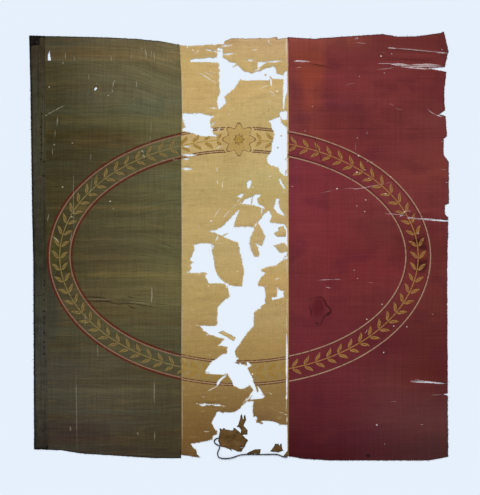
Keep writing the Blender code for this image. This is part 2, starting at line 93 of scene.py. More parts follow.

# Marks: how pale (to 1) or how dark (to -1), width, and a line of points. Pale ones are broken threads, and
# some beside creases and folds are painted highlights. Dark ones along creases are painted crease shade,
# and the rest are tide lines.
hoistMarks = toned((
    (0.75, 3.5, (-474, 638), (-483, 628), (-486, 608)), (0.6, 4.2, (-487, 601), (-486, 591)),
    (0.55, 3.5, (-741, 504), (-728, 511), (-701, 526), (-666, 544)), (0.6, 5, (-748, 501), (-738, 504)),
    (0.6, 5, (-734, 508), (-726, 512)), (0.45, 3.9, (-698, 501), (-699, 477), (-702, 458)),
    (0.35, 3.9, (-707, 447), (-709, 416)), (0.3, 3.5, (-718, 377), (-719, 347)),
    (0.45, 3.5, (-668, 747), (-668, 716)), (0.35, 3.5, (-634, 732), (-634, 712)),
    (0.5, 3.5, (-497, 735), (-492, 724), (-490, 710)), (0.5, 3.9, (-363, 760), (-357, 739), (-357, 718)),
    (0.4, 3.1, (-336, 755), (-337, 724)), (0.45, 3.1, (-327, 749), (-326, 708)),
    (0.35, 3.1, (-412, 739), (-418, 716)), (0.4, 5, (-378, 762), (-370, 760)),
    (0.6, 4.2, (-393, 633), (-394, 610)), (0.3, 3.5, (-578, 662), (-578, 639)),
    (0.3, 3.5, (-339, 477), (-339, 431)), (0.3, 3.5, (-341, 427), (-342, 397)),
    (0.3, 3.5, (-570, 358), (-571, 327)), (0.25, 3.5, (-564, 270), (-570, 223), (-573, 177)),
    (0.28, 3.1, (-638, 285), (-637, 158), (-634, 23)),
    (0.26, 3.1, (-627, -460), (-625, -620), (-623, -793)), (0.5, 3.5, (-732, 123), (-738, 92)),
    (0.45, 3.5, (-644, 50), (-650, 8)), (0.85, 3.9, (-717, 36), (-705, 28), (-691, 14)),
    (0.7, 3.5, (-336, -158), (-335, -193), (-338, -223)), (0.35, 3.5, (-591, -254), (-593, -316)),
    (0.25, 3.9, (-545, -381), (-543, -431)), (0.45, 3.9, (-327, -512), (-326, -558), (-326, -612)),
    (0.4, 3.9, (-325, -716), (-325, -751)), (0.5, 5, (-649, -695), (-648, -714)),
    (0.35, 5.8, (-390, -718), (-388, -730)), (0.25, 3.9, (-304, 329), (-281, 330)),
    (0.3, 4.2, (-258, 330), (-231, 332)), (0.95, 5.8, (-377, 367), (-367, 360)),
    (0.95, 5.8, (-371, 351), (-363, 340)), (-0.6, 3.9, (-554, 595), (-566, 587), (-578, 580)),
    # From here the dark lines lie along the creases and are painted crease shade, and the faint pale ones
    # among them are painted highlights.
    (-0.78, 4.6, (-608, -211), (-554, -213), (-508, -213), (-489, -218), (-470, -224), (-443, -224)),
    (-0.75, 4.4, (-447, -221), (-408, -221), (-381, -227), (-343, -233), (-300, -241)),
    (-0.95, 5.4, (-435, -225), (-416, -235), (-390, -245)),
    (-0.9, 4.2, (-593, -194), (-558, -197), (-520, -201), (-504, -210), (-485, -213)),
    (-0.85, 4.2, (-439, -189), (-427, -193), (-412, -199), (-389, -201)),
    (0.13, 3.6, (-600, -205), (-540, -206), (-500, -207), (-470, -214)),
    (0.13, 4.2, (-440, -214), (-390, -216), (-340, -225)), (-0.45, 3.9, (-743, -191), (-708, -194)),
    (-0.45, 3.6, (-700, -190), (-655, -193), (-600, -199)),
    (-0.5, 3.9, (-389, -222), (-304, -224), (-243, -231)),
    (-0.6, 4.2, (-500, -204), (-440, -212), (-370, -214), (-340, -219)),
    (-0.78, 4.6, (-545, -212), (-500, -216.5), (-466, -223.5), (-425, -222.5), (-391, -232)),
    (-0.45, 4.2, (-343, 19), (-304, 12), (-273, 4), (-250, -8), (-229, -31)),
    (-0.3, 4.2, (-277, -416), (-229, -413)), (-0.3, 3.9, (-420, -412), (-343, -404)),
    (-0.3, 3.9, (-666, 379), (-593, 381), (-489, 375)),
))
centreMarks = toned((
    (0.22, 4, (-218.5, 690), (-219, 480)), (0.22, 4, (-219.5, 330), (-219, -150)),
    (0.25, 4, (-219, -140), (-219.5, -520)), (0.22, 4, (-219, -500), (-217.5, -800)),
    (0.8, 3.9, (-161, 672), (-135, 656), (-108, 643)), (0.8, 3.9, (-145, 661), (-113, 641), (-81, 623)),
    (0.6, 3.5, (-135, 668), (-96, 651)), (0.5, 3.5, (-129, 670), (-82, 668)),
    (0.7, 4.2, (79, 604), (96, 612), (118, 621)), (0.9, 4.6, (118, 596), (138, 583)),
    (0.9, 4.2, (124, 582), (144, 576)), (0.5, 3.9, (94, 557), (112, 554), (131, 552)),
    (0.9, 6.2, (53, 753), (64, 755), (72, 757)), (0.8, 5.8, (112, 778), (116, 793)),
    (0.7, 5, (118, 780), (126, 779)), (0.45, 4.2, (-181, 742), (-154, 741)),
    (0.9, 5.8, (-87, 374), (-77, 380), (-62, 388)), (0.95, 5.4, (-84, 301), (-84, 283)),
    (0.9, 5, (-62, 249), (-64, 235), (-65, 219)), (0.8, 5.8, (-83, 252), (-81, 236)),
    (0.5, 3.9, (-72, 145), (-85, 127), (-98, 104)), (0.75, 3.9, (-32, 139), (-50, 122), (-61, 105)),
    (0.55, 3.5, (-31, 142), (-2, 166)), (1, 7.7, (-114, 92), (-102, 99)),
    (0.8, 5, (-157, 73), (-150, 74)), (0.7, 5, (115, 268), (127, 268)), (0.9, 5, (169, 204), (174, 209)),
    (0.6, 4.6, (2, 153), (9, 174)), (0.8, 5, (136, -129), (145, -130), (150, -125), (163, -128)),
    (0.6, 5, (98, -157), (111, -154)), (-0.6, 5, (139, -220), (145, -232)),
    (0.45, 3.5, (-89, 9), (-58, 10)), (0.6, 4.6, (-165, -306), (-149, -307)),
    # Near y -570 to -620 mm the dark lines are painted shade where the silk lifts in a ridge, and the pale
    # one just under the first is a painted highlight.
    (-0.35, 5, (-143, -571), (-130, -570)), (0.35, 5, (-141, -581), (-132, -581)),
    (0.7, 3.9, (-79, -539), (-100, -548), (-124, -561)), (0.7, 4.2, (118, -564), (127, -574)),
    (-0.9, 5.8, (54, -499), (55, -510)), (0.6, 4.2, (-166, -608), (-153, -608)),
    (0.6, 4.2, (-70, -614), (-49, -619)), (-0.5, 5, (-136, -603), (-102, -601)),
    (-0.4, 5.4, (-127, -620), (-65, -621)), (0.6, 3.9, (-135, -713), (-112, -716)),
    (0.6, 3.9, (156, -641), (173, -644)), (0.7, 4.2, (175, -648), (186, -649)),
    (0.6, 5.4, (185, -654), (183, -685)), (0.75, 5.8, (182, 802), (182, 770), (182, 726)),
    (0.5, 4.6, (184, -270), (185, -336)), (0.5, 4.6, (183, -589), (182, -639)),
    (0.35, 4.6, (185, -46), (185, -139)), (0.4, 4.6, (185, -200), (185, -273)),
    (0.35, 4.6, (182, 728), (183, 685)), (-0.3, 3.5, (65, 399), (104, 400), (125, 408)),
    (-0.35, 4.6, (-216, 305), (-181, 306)),
))
flyMarks = toned((
    # The pale lines along the turned lip at the head and beside the crease below it are painted highlights
    # as well as broken threads, and the dark line along that crease is painted crease shade.
    (0.54, 2.8, (562, 765), (601, 761), (666, 755), (735, 748), (797, 743)),
    (0.9, 3.6, (574, 762), (608, 760)), (0.81, 4.2, (758, 746), (806, 742)),
    (0.95, 8, (581, 699), (620, 698), (662, 695)), (0.54, 3.3, (535, 702), (589, 701)),
    (0.75, 5, (654, 698), (735, 699), (778, 696)),
    (0.6, 7, (635, 691), (681, 692), (743, 693), (789, 691)),
    (0.95, 4.8, (624, 690), (658, 686), (697, 683), (739, 681)),
    (0.36, 2.8, (527, 679), (566, 682), (601, 687)), (0.95, 7, (216, 713), (231, 712), (254, 712)),
    (0.45, 3, (246, 712), (277, 708)),
    (-0.7, 4.6, (252, 708), (273, 702), (304, 697), (335, 692), (372, 685)),
    (0.36, 2.5, (219, 685), (243, 689)), (0.81, 3, (649, 111), (678, 106)),
    (0.45, 2.5, (558, 125), (604, 122), (651, 117)), (0.72, 3, (618, 114), (635, 119)),
    (0.85, 3.6, (674, 105), (712, 104), (766, 101)), (0.81, 4.2, (630, 127), (644, 136)),
    (0.72, 3.6, (651, 135), (659, 133)), (0.27, 2.2, (312, 203), (370, 216)),
    (0.54, 2.5, (393, 217), (427, 223), (450, 219), (481, 224), (520, 232), (558, 240)),
    (0.27, 2.2, (558, 240), (597, 246)), (0.5, 2.6, (303, -132), (335, -130), (366, -129)),
    (0.41, 2.2, (362, -129), (397, -129)), (0.52, 2.8, (333, -158), (356, -162)),
    (0.22, 2.8, (495, -140), (520, -142)), (-0.3, 3.5, (404, -135), (474, -133)),
    (0.24, 2.5, (576, 549), (601, 539)), (0.27, 2.5, (597, 531), (631, 523)),
    (0.54, 2.8, (724, 527), (747, 510), (766, 503)), (0.81, 3.9, (757, 505), (784, 497)),
    (0.45, 3, (662, -522), (685, -517), (712, -521), (751, -526), (800, -532)),
    (0.9, 3.6, (788, -572), (805, -570)), (0.36, 2.2, (735, -574), (789, -572)),
    (0.27, 2.8, (580, -599), (611, -599)), (0.32, 3.3, (698, -688), (713, -688)),
    (0.54, 2.5, (445, 794), (456, 803)), (0.72, 3.9, (453, 802), (459, 796)),
    (0.45, 2.5, (447, 783), (493, 779)), (0.45, 3, (490, 429), (495, 441)),
    (0.23, 2.5, (450, 400), (448, 362)), (0.23, 2.5, (408, 610), (418, 622), (450, 629)),
    (0.36, 2.2, (774, 293), (802, 295)), (0.32, 2.5, (778, 401), (789, 402)),
    (0.81, 3.6, (796, 244), (803, 243)), (0.54, 3, (486, -336), (496, -321)),
    (-0.8, 4.6, (246, 437), (270, 429), (288, 423), (296, 404), (299, 381), (310, 354), (317, 331),
     (327, 313), (347, 300), (364, 285), (367, 270)),
    (-0.95, 7, (271, -221), (274, -206), (289, -199), (309, -196), (323, -200), (331, -214), (339, -231),
     (353, -244), (354, -254), (345, -264), (330, -269), (323, -283), (316, -300), (310, -310),
     (300, -302), (293, -290)),
    (-0.9, 6.2, (271, -221), (272, -239), (279, -254), (273, -270), (287, -273)),
    (-0.45, 3.5, (255, 452), (420, 453), (610, 451)), (-0.35, 3.5, (600, 452), (795, 450)),
    (-1, 11, (333, -265), (353, -252)), (-0.95, 9, (293, -290), (306, -306)),
    (-0.35, 3.5, (437, 208), (449, 177), (447, 162)), (-0.45, 15, (664, 16), (690, 22), (712, 12)),
    (-0.4, 12, (694, -4), (716, -10)), (-0.45, 15, (690, -64), (708, -66)),
    (-0.4, 13, (700, -82), (716, -74)), (-0.45, 3.9, (778, -154), (797, -162)),
    (-0.5, 3.9, (780, -189), (798, -187)),
))
bandMarks = toned((
    (-0.8, 4.6, (-761, 535), (-762, 477), (-761, 400), (-762, 293)),
    (-0.5, 5.4, (-772, 766), (-772, 658), (-771, 539)),
    (0.25, 3.9, (-751, 755), (-751, 601), (-752, 447), (-751, 246)),
    (-0.5, 4.6, (-752, 243), (-748, 62), (-747, -62)), (-0.5, 6.2, (-783, 0), (-779, -23)),
    (-0.5, 6.9, (-782, -58), (-780, -81)), (-0.5, 3.9, (-789, -192), (-766, -191), (-747, -191)),
    (-0.3, 3.5, (-789, -179), (-751, -179)), (-0.35, 4.6, (-762, -246), (-762, -439), (-762, -670)),
    (-0.3, 3.9, (-774, -208), (-772, -516)), (-0.4, 6.2, (-793, 504), (-766, 512)),
))

# Spots: tone, width and place
hoistSpots = toned((
    (0.8, 5.8, (-496, 172)), (0.5, 5.8, (-679, 227)), (0.6, 4.6, (-503, 579)), (0.9, 4.6, (-644, 112)),
    (0.7, 5, (-730, 612)), (0.5, 4.6, (-677, 704)), (0.5, 5.4, (-749, 709)), (0.45, 5, (-711, 390)),
    (0.4, 3.9, (-547, 625)), (0.3, 3.9, (-406, 569)), (0.3, 4.6, (-483, 144)), (0.3, 5.4, (-641, 396)),
))
centreSpots = toned((
    (0.6, 5.4, (-198, 765)), (0.6, 5.8, (-177, 754)), (0.6, 6.9, (-159, 749)), (1, 6.2, (146, 595)),
    (0.7, 5, (54, 227)), (0.6, 5, (-6, -98)), (0.5, 5, (-117, -154)), (1, 5.4, (52, -493)),
    (0.5, 5.8, (-40, 508)), (0.3, 3.9, (-97, -156)),
))
flySpots = toned((
    (0.68, 5.8, (547, 730)), (0.38, 4.3, (588, 739)), (0.3, 3.1, (558, 745)), (0.3, 4.6, (464, 653)),
    (0.38, 4.3, (560, 666)), (0.38, 4, (456, 416)), (0.68, 5.2, (460, 347)), (0.38, 3.4, (494, 325)),
    (0.45, 3.7, (512, 322)), (0.38, 3.1, (470, 312)), (0.49, 4.6, (485, 293)), (0.68, 5.2, (454, 284)),
    (0.38, 3.1, (464, 280)), (0.64, 4.6, (584, 266)), (0.6, 3.7, (500, 260)), (0.71, 6.2, (377, 220)),
    (0.64, 5.2, (564, 200)), (0.49, 5.5, (488, 177)), (0.49, 3.7, (454, 154)), (0.49, 5.2, (484, 132)),
    (0.45, 5.5, (690, 49)), (0.41, 4.3, (457, -125)), (0.45, 5.2, (551, -225)), (0.56, 5, (492, -282)),
    (0.6, 5.2, (557, -410)), (0.56, 6.5, (531, -689)), (0.26, 4.3, (561, -762)), (0.34, 3.7, (745, -263)),
    (0.3, 4.3, (443, -94)), (0.38, 3.7, (255, 443)), (0.26, 4.6, (283, 537)), (0.56, 3.7, (206, 229)),
    (0.45, 3.7, (782, 756)), (0.45, 5.5, (596, -308)), (0.52, 5.5, (646, -311)),
))

# Holes, tongues of cloth that stand into the gaps, and slits and strips as a width and a line
centreCuts = metres((
    ((8, 654), (62, 652), (116, 650), (117, 637), (73, 638), (31, 636), (8, 639)),
    ((120, 644), (124, 644), (127, 634), (127, 618), (123, 615), (120, 628)),
    ((-103, 501), (-106, 495), (-101, 493), (-99, 499)),
    ((-108, 456), (-98, 452), (-102, 443), (-98, 431), (-77, 423), (-100, 422), (-111, 431)),
    ((160, 499), (135, 488), (112, 482), (127, 479), (146, 485)),
    ((129, 397), (124, 366), (109, 336), (112, 318), (128, 306), (133, 331), (133, 370)),
    ((86, 144), (92, 143), (89, 133), (86, 121), (84, 131)),
    ((142, 184), (156, 182), (153, 169), (148, 158), (162, 139), (178, 114), (149, 126), (133, 146),
     (141, 169)),
    ((172, 14), (187, 18), (187, -5), (182, 3)), ((63, 12), (70, 10), (74, 3), (68, 0)),
    ((178, -42), (187, -38), (187, -50), (176, -52), (169, -55)),
    ((-104, 7), (-99, 4), (-95, -2), (-100, -5), (-98, -10), (-104, -12)),
    ((-56, -142), (-46, -142), (-38, -148), (-42, -152), (-45, -159), (-50, -162), (-49, -153),
     (-55, -147)),
    ((99, -215), (104, -220), (94, -226), (92, -220)), ((82, -234), (85, -240), (76, -243), (74, -240)),
    ((-130, -339), (-116, -340), (-119, -344), (-127, -343)),
    ((-132, -485), (-96, -490), (-48, -490), (-57, -496), (-96, -494), (-127, -491)),
    ((-13, -427), (-6, -428), (0, -433), (-8, -439), (-13, -437)),
    ((2, -451), (6, -449), (8, -457), (4, -458)),
    ((70, -539), (74, -541), (84, -554), (92, -567), (100, -580), (79, -561), (75, -556), (73, -548)),
    ((100, -579), (91, -587), (65, -590), (44, -592), (41, -588), (69, -584)),
    ((-52, -494), (-65, -504), (-79, -516), (-87, -530), (-84, -539), (-77, -532), (-71, -521),
     (-59, -509)),
    ((181, -511), (187, -511), (186, -562), (186, -587), (182, -592), (179, -584), (182, -573)),
    ((-153, -608), (-135, -610), (-126, -614), (-140, -617), (-151, -613)),
    ((-104, -611), (-72, -612), (-69, -616), (-92, -616)),
    ((92, -681), (84, -676), (90, -673), (112, -673), (131, -675), (150, -682), (162, -688), (127, -688),
     (92, -686)),
    ((59, -656), (65, -655), (71, -663), (68, -672), (63, -668)),
    ((-98, -729), (-93, -733), (-99, -738), (-102, -735)),
    ((-103, -740), (-97, -741), (-99, -745), (-102, -745)),
    ((71, 199), (85, 198), (83, 193), (74, 185), (69, 184)),
    ((-10, 190), (13, 202), (20, 201), (14, 193), (8, 183), (2, 187)),
))
centreTongues = metres((
    ((-96, 701), (-76, 699), (-80, 688), (-74, 676), (-80, 665), (-75, 652), (-80, 639), (-75, 627),
     (-80, 615), (-76, 602), (-81, 593), (-96, 593)),
    ((-188, -55), (-177, -62), (-188, -73), (-191, -62)),
    ((-189, -75), (-182, -82), (-188, -94), (-196, -102), (-196, -85)),
    ((-148, -102), (-139, -101), (-129, -102), (-122, -106), (-128, -111), (-130, -119), (-142, -111)),
    ((-39, -149), (-15, -154), (12, -155), (13, -147)),
    ((83, -124), (78, -134), (72, -147), (74, -153), (89, -155), (85, -139)),
    ((148, -156), (178, -169), (176, -173), (159, -171), (152, -166)),
    ((177, -173), (170, -180), (174, -196), (181, -193)),
    ((-130, -329), (-119, -336), (-124, -341), (-134, -333)),
    ((0, -381), (-10, -394), (-16, -405), (-14, -417), (-10, -426), (-4, -408)),
    ((-11, -447), (-17, -449), (-9, -452), (1, -456), (2, -450)),
    ((20, -456), (30, -462), (32, -455), (28, -449)),
    ((57, -516), (53, -517), (60, -533), (65, -547), (70, -563), (75, -562), (74, -556), (69, -539)),
    ((-57, -507), (-71, -521), (-77, -532), (-84, -539), (-69, -525), (-55, -510)),
    ((-77, -637), (-62, -643), (-54, -639), (-42, -641), (-31, -641), (-16, -638), (-2, -630),
     (-8, -626)),
    ((77, -679), (85, -686), (92, -685), (93, -681)),
    ((53, -640), (60, -649), (53, -653), (57, -658), (65, -654), (62, -641)),
    ((74, 12), (81, 2), (88, 1), (94, 15)),
    ((-88, -709), (-82, -713), (-85, -718), (-82, -725), (-92, -718)),
    ((99, 661), (105, 662), (105, 656), (100, 655)), ((160, 427), (165, 427), (164, 422), (160, 423)),
    ((147, 382), (152, 382), (151, 377), (147, 377)),
))
centreSlits = metres((
    (5.8, (-71, 768), (-54, 771), (-23, 775)), (5, (-133, 759), (-116, 754), (-102, 752)),
    (5.8, (-77, 745), (-89, 748), (-99, 754)), (5.4, (-73, 733), (-50, 738), (-10, 742)),
    (4.6, (104, 709), (139, 710), (179, 715)), (3.9, (29, 713), (61, 715)),
    (6.2, (89, 691), (73, 693), (79, 683), (53, 672)), (5, (-112, 459), (-100, 470), (-88, 482)),
    (5, (-84, 440), (-70, 457)), (5.4, (-216, 383), (-191, 383)),
    (8.9, (-225, 351), (-193, 350), (-160, 350)), (4.2, (-216, 335), (-188, 335)),
    (9.2, (-225, 298), (-200, 297), (-175, 298)), (5, (-9, 170), (5, 181)),
    (4.6, (-79, 45), (-84, 30), (-92, 16)), (5, (62, 71), (64, 81), (67, 94)),
    (5.4, (46, -579), (31, -590), (16, -601)), (3.1, (-116, 532), (-79, 531)),
))
centreStrips = metres((
    (6.5, (4, 706), (-12, 697), (-25, 689)), (5, (96, 691), (73, 677), (49, 664)),
    (5.4, (135, 639), (125, 647), (115, 655)), (5.4, (-71, 34), (-56, 43), (-40, 50)),
    (4.6, (-87, 748), (-77, 751), (-69, 752)), (4.2, (44, 152), (49, 169), (51, 185), (59, 196)),
    (3.1, (52, -574), (42, -588), (29, -599)), (5.8, (188, 343), (181, 336), (176, 331)),
    (5.4, (188, 298), (181, 289), (179, 271)),
))

# Bared threads that still close the lower half of the fly panel's longest low tear
flyBridge = metres(((667, -524), (700, -526.8), (745, -529.8), (796, -532.5)))

# Tacks of thick black thread on the sleeve
sleeveTacks = metres((
    (-760, 510), (-758, 481), (-762, 458), (-762, 431), (-760, 408), (-760, 391), (-760, 358),
    (-762, 333), (-752, 325), (-753, 270), (-750, -135), (-750, -150), (-750, -185), (-750, -208),
    (-750, -250), (-750, -277), (-750, -296), (-750, -335), (-750, -370), (-750, -389), (-750, -416),
))

# The rolled hem's route, from the loose scrap round the corner and on to the fly seam
hemRoute = metres((
    (-79.5, -739.3), (-88, -742), (-94, -747.5), (-95.2, -753.5), (-92, -759.5), (-85.5, -764),
    (-79.5, -767), (-74.7, -771.2), (-74.5, -776.5), (-77.5, -783.5), (-80.8, -790), (-82.2, -797.5),
    (-81.5, -806), (-77.5, -813), (-69, -816.8), (-56, -818), (-36, -817), (-18, -812.2), (-2, -806.4),
    (14, -803.2), (35, -802.2), (60, -802.1), (90, -802.5), (120, -802), (144, -802.2), (156, -805),
    (166, -809.8), (176, -812), (187, -811.7),
))
hemRadius = 0.002


# Camera, straight above the flag

def makeCamera():
    height, seen = 5.0, 1.906  # what it takes in from head to foot
    data = bpy.data.cameras.new("camera")
    data.sensor_fit = "VERTICAL"
    data.sensor_height = 24.0
    data.lens = data.sensor_height * height / seen
    camera = bpy.data.objects.new("camera", data)
    camera.location = (0.004, -0.006, height)
    bpy.context.scene.collection.objects.link(camera)
    bpy.context.scene.camera = camera


# Materials

def ink(code):
    # A hex sRGB colour as the linear numbers that a shader takes.
    channels = [int(code[i:i + 2], 16) / 255 for i in (1, 3, 5)]
    return (*(c / 12.92 if c <= 0.04045 else ((c + 0.055) / 1.055) ** 2.4 for c in channels), 1.0)


def addNode(tree, kind, links=None, stops=None, **settings):
    # links gives each input a value or another node's output, and stops fills a colour ramp.
    node = tree.nodes.new("ShaderNode" + kind)
    for name, value in settings.items():
        setattr(node, name, value)
    if stops:
        ramp = node.color_ramp
        while len(ramp.elements) < len(stops):
            ramp.elements.new(0.5)
        for element, (place, colour) in zip(ramp.elements, stops):
            element.position = place
        for element, (place, colour) in zip(ramp.elements, stops):
            element.color = colour
    for name, value in (links or {}).items():
        if isinstance(value, bpy.types.NodeSocket):
            tree.links.new(value, node.inputs[name])
        else:
            node.inputs[name].default_value = value
    return node.outputs


def newMaterial(name):
    material = bpy.data.materials.new(name)
    material.use_nodes = True
    tree = material.node_tree
    tree.nodes.clear()
    surface = addNode(tree, "BsdfPrincipled")[0]
    addNode(tree, "OutputMaterial", {"Surface": surface})
    return material, tree, surface.node, addNode(tree, "TexCoord")["Object"]


def heightStops(rows):
    # A ramp's stops from colours by their height in millimetres
    return [((metres(y) + heightReach) / (2 * heightReach), ink(colour)) for y, colour in sorted(rows.items())]


def addHeightColours(tree, x, y, columns):
    # Each column of colours takes over from the one before it between its start and its end.
    height = addNode(tree, "MapRange", {0: y, 1: -heightReach, 2: heightReach})[0]
    colour = None
    for start, end, rows in columns:
        column = addNode(tree, "ValToRGB", {0: height}, stops=heightStops(rows))[0]
        if colour is None:
            colour = column
            continue
        share = addNode(tree, "MapRange", {0: x, 1: metres(start), 2: metres(end)})[0]
        colour = addNode(tree, "Mix", {"Factor": share, 6: colour, 7: column}, data_type="RGBA")[2]
    return colour


def addTint(tree, colour, tone, value, start, end, strength, ease="SMOOTHSTEP"):
    # A tone over the colour, up to its strength as the value goes from start to end.
    share = addNode(
        tree, "MapRange", {0: value, 1: start, 2: end, 4: strength}, interpolation_type=ease
    )[0]
    return addNode(tree, "Mix", {"Factor": share, 6: colour, 7: ink(tone)}, data_type="RGBA")[2]


def addBars(tree, place, scaleX, scaleY, detail):
    # Noise at its own scale along and across, so that it draws out into bars.
    stretched = addNode(tree, "VectorMath", {0: place, 1: (scaleX, scaleY, 1.0)}, operation="MULTIPLY")[0]
    return addNode(tree, "TexNoise", {"Vector": stretched, "Scale": 1.0, "Detail": detail})["Fac"]


def addWeave(tree, place, colour, rows):
    # Bars as (x scale, y scale, detail, strength), all multiplied into the colour.
    light = 1 - sum(row[3] for row in rows) / 2
    for *shape, strength in rows:
        bars = addBars(tree, place, *shape)
        light = addNode(tree, "Math", {0: bars, 1: strength, 2: light}, operation="MULTIPLY_ADD")[0]
    colour = addNode(tree, "VectorMath", {0: colour, "Scale": light}, operation="SCALE")[0]
    return colour, bars


def addWear(tree, colour, spec):
    # Torn edges take a tint of their own, which on the olive panel is painted shade. Broken threads and
    # painted crease highlights show pale, tide lines and painted crease shade dark, and the hems darken
    # towards their edges.
    frayReach, frayFull, rimFull, darkest = 0.0022, 0.0004, 0.0012, 0.7
    mark, edge, hem = (
        addNode(tree, "Attribute", attribute_name=name)["Fac"] for name in ("mark", "edge", "hem")
    )
    # The torn-edge tint; on the olive panel it is painted shade round the tears.
    colour = addTint(tree, colour, spec["torn"], edge, frayReach, frayFull, spec["tornShare"])
    # Dark marks: tide lines, and painted crease shade along the creases.
    colour = addTint(tree, colour, spec["rim"], mark, 0.0, -1.0, darkest, "LINEAR")
    # Pale marks: broken threads, and painted highlights beside creases and folds.
    colour = addTint(tree, colour, spec["thread"], mark, 0.0, 1.0, 1.0, "LINEAR")
    return addTint(tree, colour, spec["rim"], hem, metres(spec["rimReach"]), rimFull, spec["rimShare"])


def reachOf(tree, place, x, y, wide, high):
    # How far a place is from (x, y), in the widths and heights of an oval.
    offset = addNode(tree, "VectorMath", {0: place, 1: (x, y, 0.0)}, operation="SUBTRACT")[0]
    scaled = addNode(
        tree, "VectorMath", {0: offset, 1: (1 / wide, 1 / high, 0.0)}, operation="MULTIPLY"
    )[0]
    return addNode(tree, "VectorMath", {0: scaled}, operation="LENGTH")["Value"]


def silkMaterial(name, spec):
    # Taffeta: a close plain weave with thicker weft threads, which catch the light as fine bars.
    material, tree, shader, place = newMaterial(name)
    bend = addNode(tree, "TexNoise", {"Vector": place, "Scale": 4.0, "Detail": 2.0})["Fac"]
    sway = metres(spec["sway"])
    shift = addNode(tree, "Math", {0: bend, 1: sway, 2: -sway / 2}, operation="MULTIPLY_ADD")[0]
    axes = addNode(tree, "SeparateXYZ", {0: place})
    low = addNode(tree, "Math", {0: shift, 1: 0.2, 2: axes[1]}, operation="MULTIPLY_ADD")[0]

    # Places where the weft has been pulled up or down, as (x, y, half width, half height, how far)
    for *oval, drop in metres(spec["pulls"]):
        pull = addNode(
            tree, "MapRange", {0: reachOf(tree, place, *oval), 1: 1.0, 2: 0.0, 4: drop},
            interpolation_type="SMOOTHSTEP",
        )[0]
        shift = addNode(tree, "Math", {0: shift, 1: pull}, operation="ADD")[0]
    swayed = addNode(tree, "CombineXYZ", {1: shift})[0]
    swayed = addNode(tree, "VectorMath", {0: place, 1: swayed}, operation="ADD")[0]
    colour = addHeightColours(tree, axes[0], low, spec["heightColours"])

    # Faded and soiled clouds, as (tone, scale along, scale across, from, to, strength)
    for tone, scaleX, scaleY, *limits in spec["clouds"]:
        colour = addTint(tree, colour, tone, addBars(tree, swayed, scaleX, scaleY, 4.0), *limits)

    # Stains, as (x, y, half width, half height, tone, strength)
    blotch = addNode(tree, "TexNoise", {"Vector": place, "Scale": 16.0, "Detail": 4.0})["Fac"]
    for *oval, tone, strength in spec["stains"]:
        reach = reachOf(tree, place, *metres(tuple(oval)))
        frayed = addNode(tree, "Math", {0: blotch, 1: 1.6, 2: reach}, operation="MULTIPLY_ADD")[0]
        colour = addTint(tree, colour, tone, frayed, 2.1, 1.2, strength)

    # The real threads are about 0.15 mm apart, so each bar here stands for a group of them.
    colour, ribs = addWeave(tree, swayed, colour, spec["weave"])
    colour = paintGarland(tree, place, colour, spec)
    rough = addNode(tree, "MapRange", {0: ribs, 3: 0.58, 4: 0.74})[0]
    tree.links.new(rough, shader.inputs["Roughness"])
    setFace(tree, shader, addWear(tree, colour, spec), ribs, 0.03, 0.5)
    return material


def setFace(tree, shader, colour, bars, specular, strength):
    # Spun threads scatter the light, so the face is matt, and the weave stands up from it a little.
    bump = addNode(tree, "Bump", {"Height": bars, "Strength": strength, "Distance": silkThickness})[0]
    tree.links.new(colour, shader.inputs["Base Color"])
    tree.links.new(bump, shader.inputs["Normal"])
    shader.inputs["Specular IOR Level"].default_value = specular


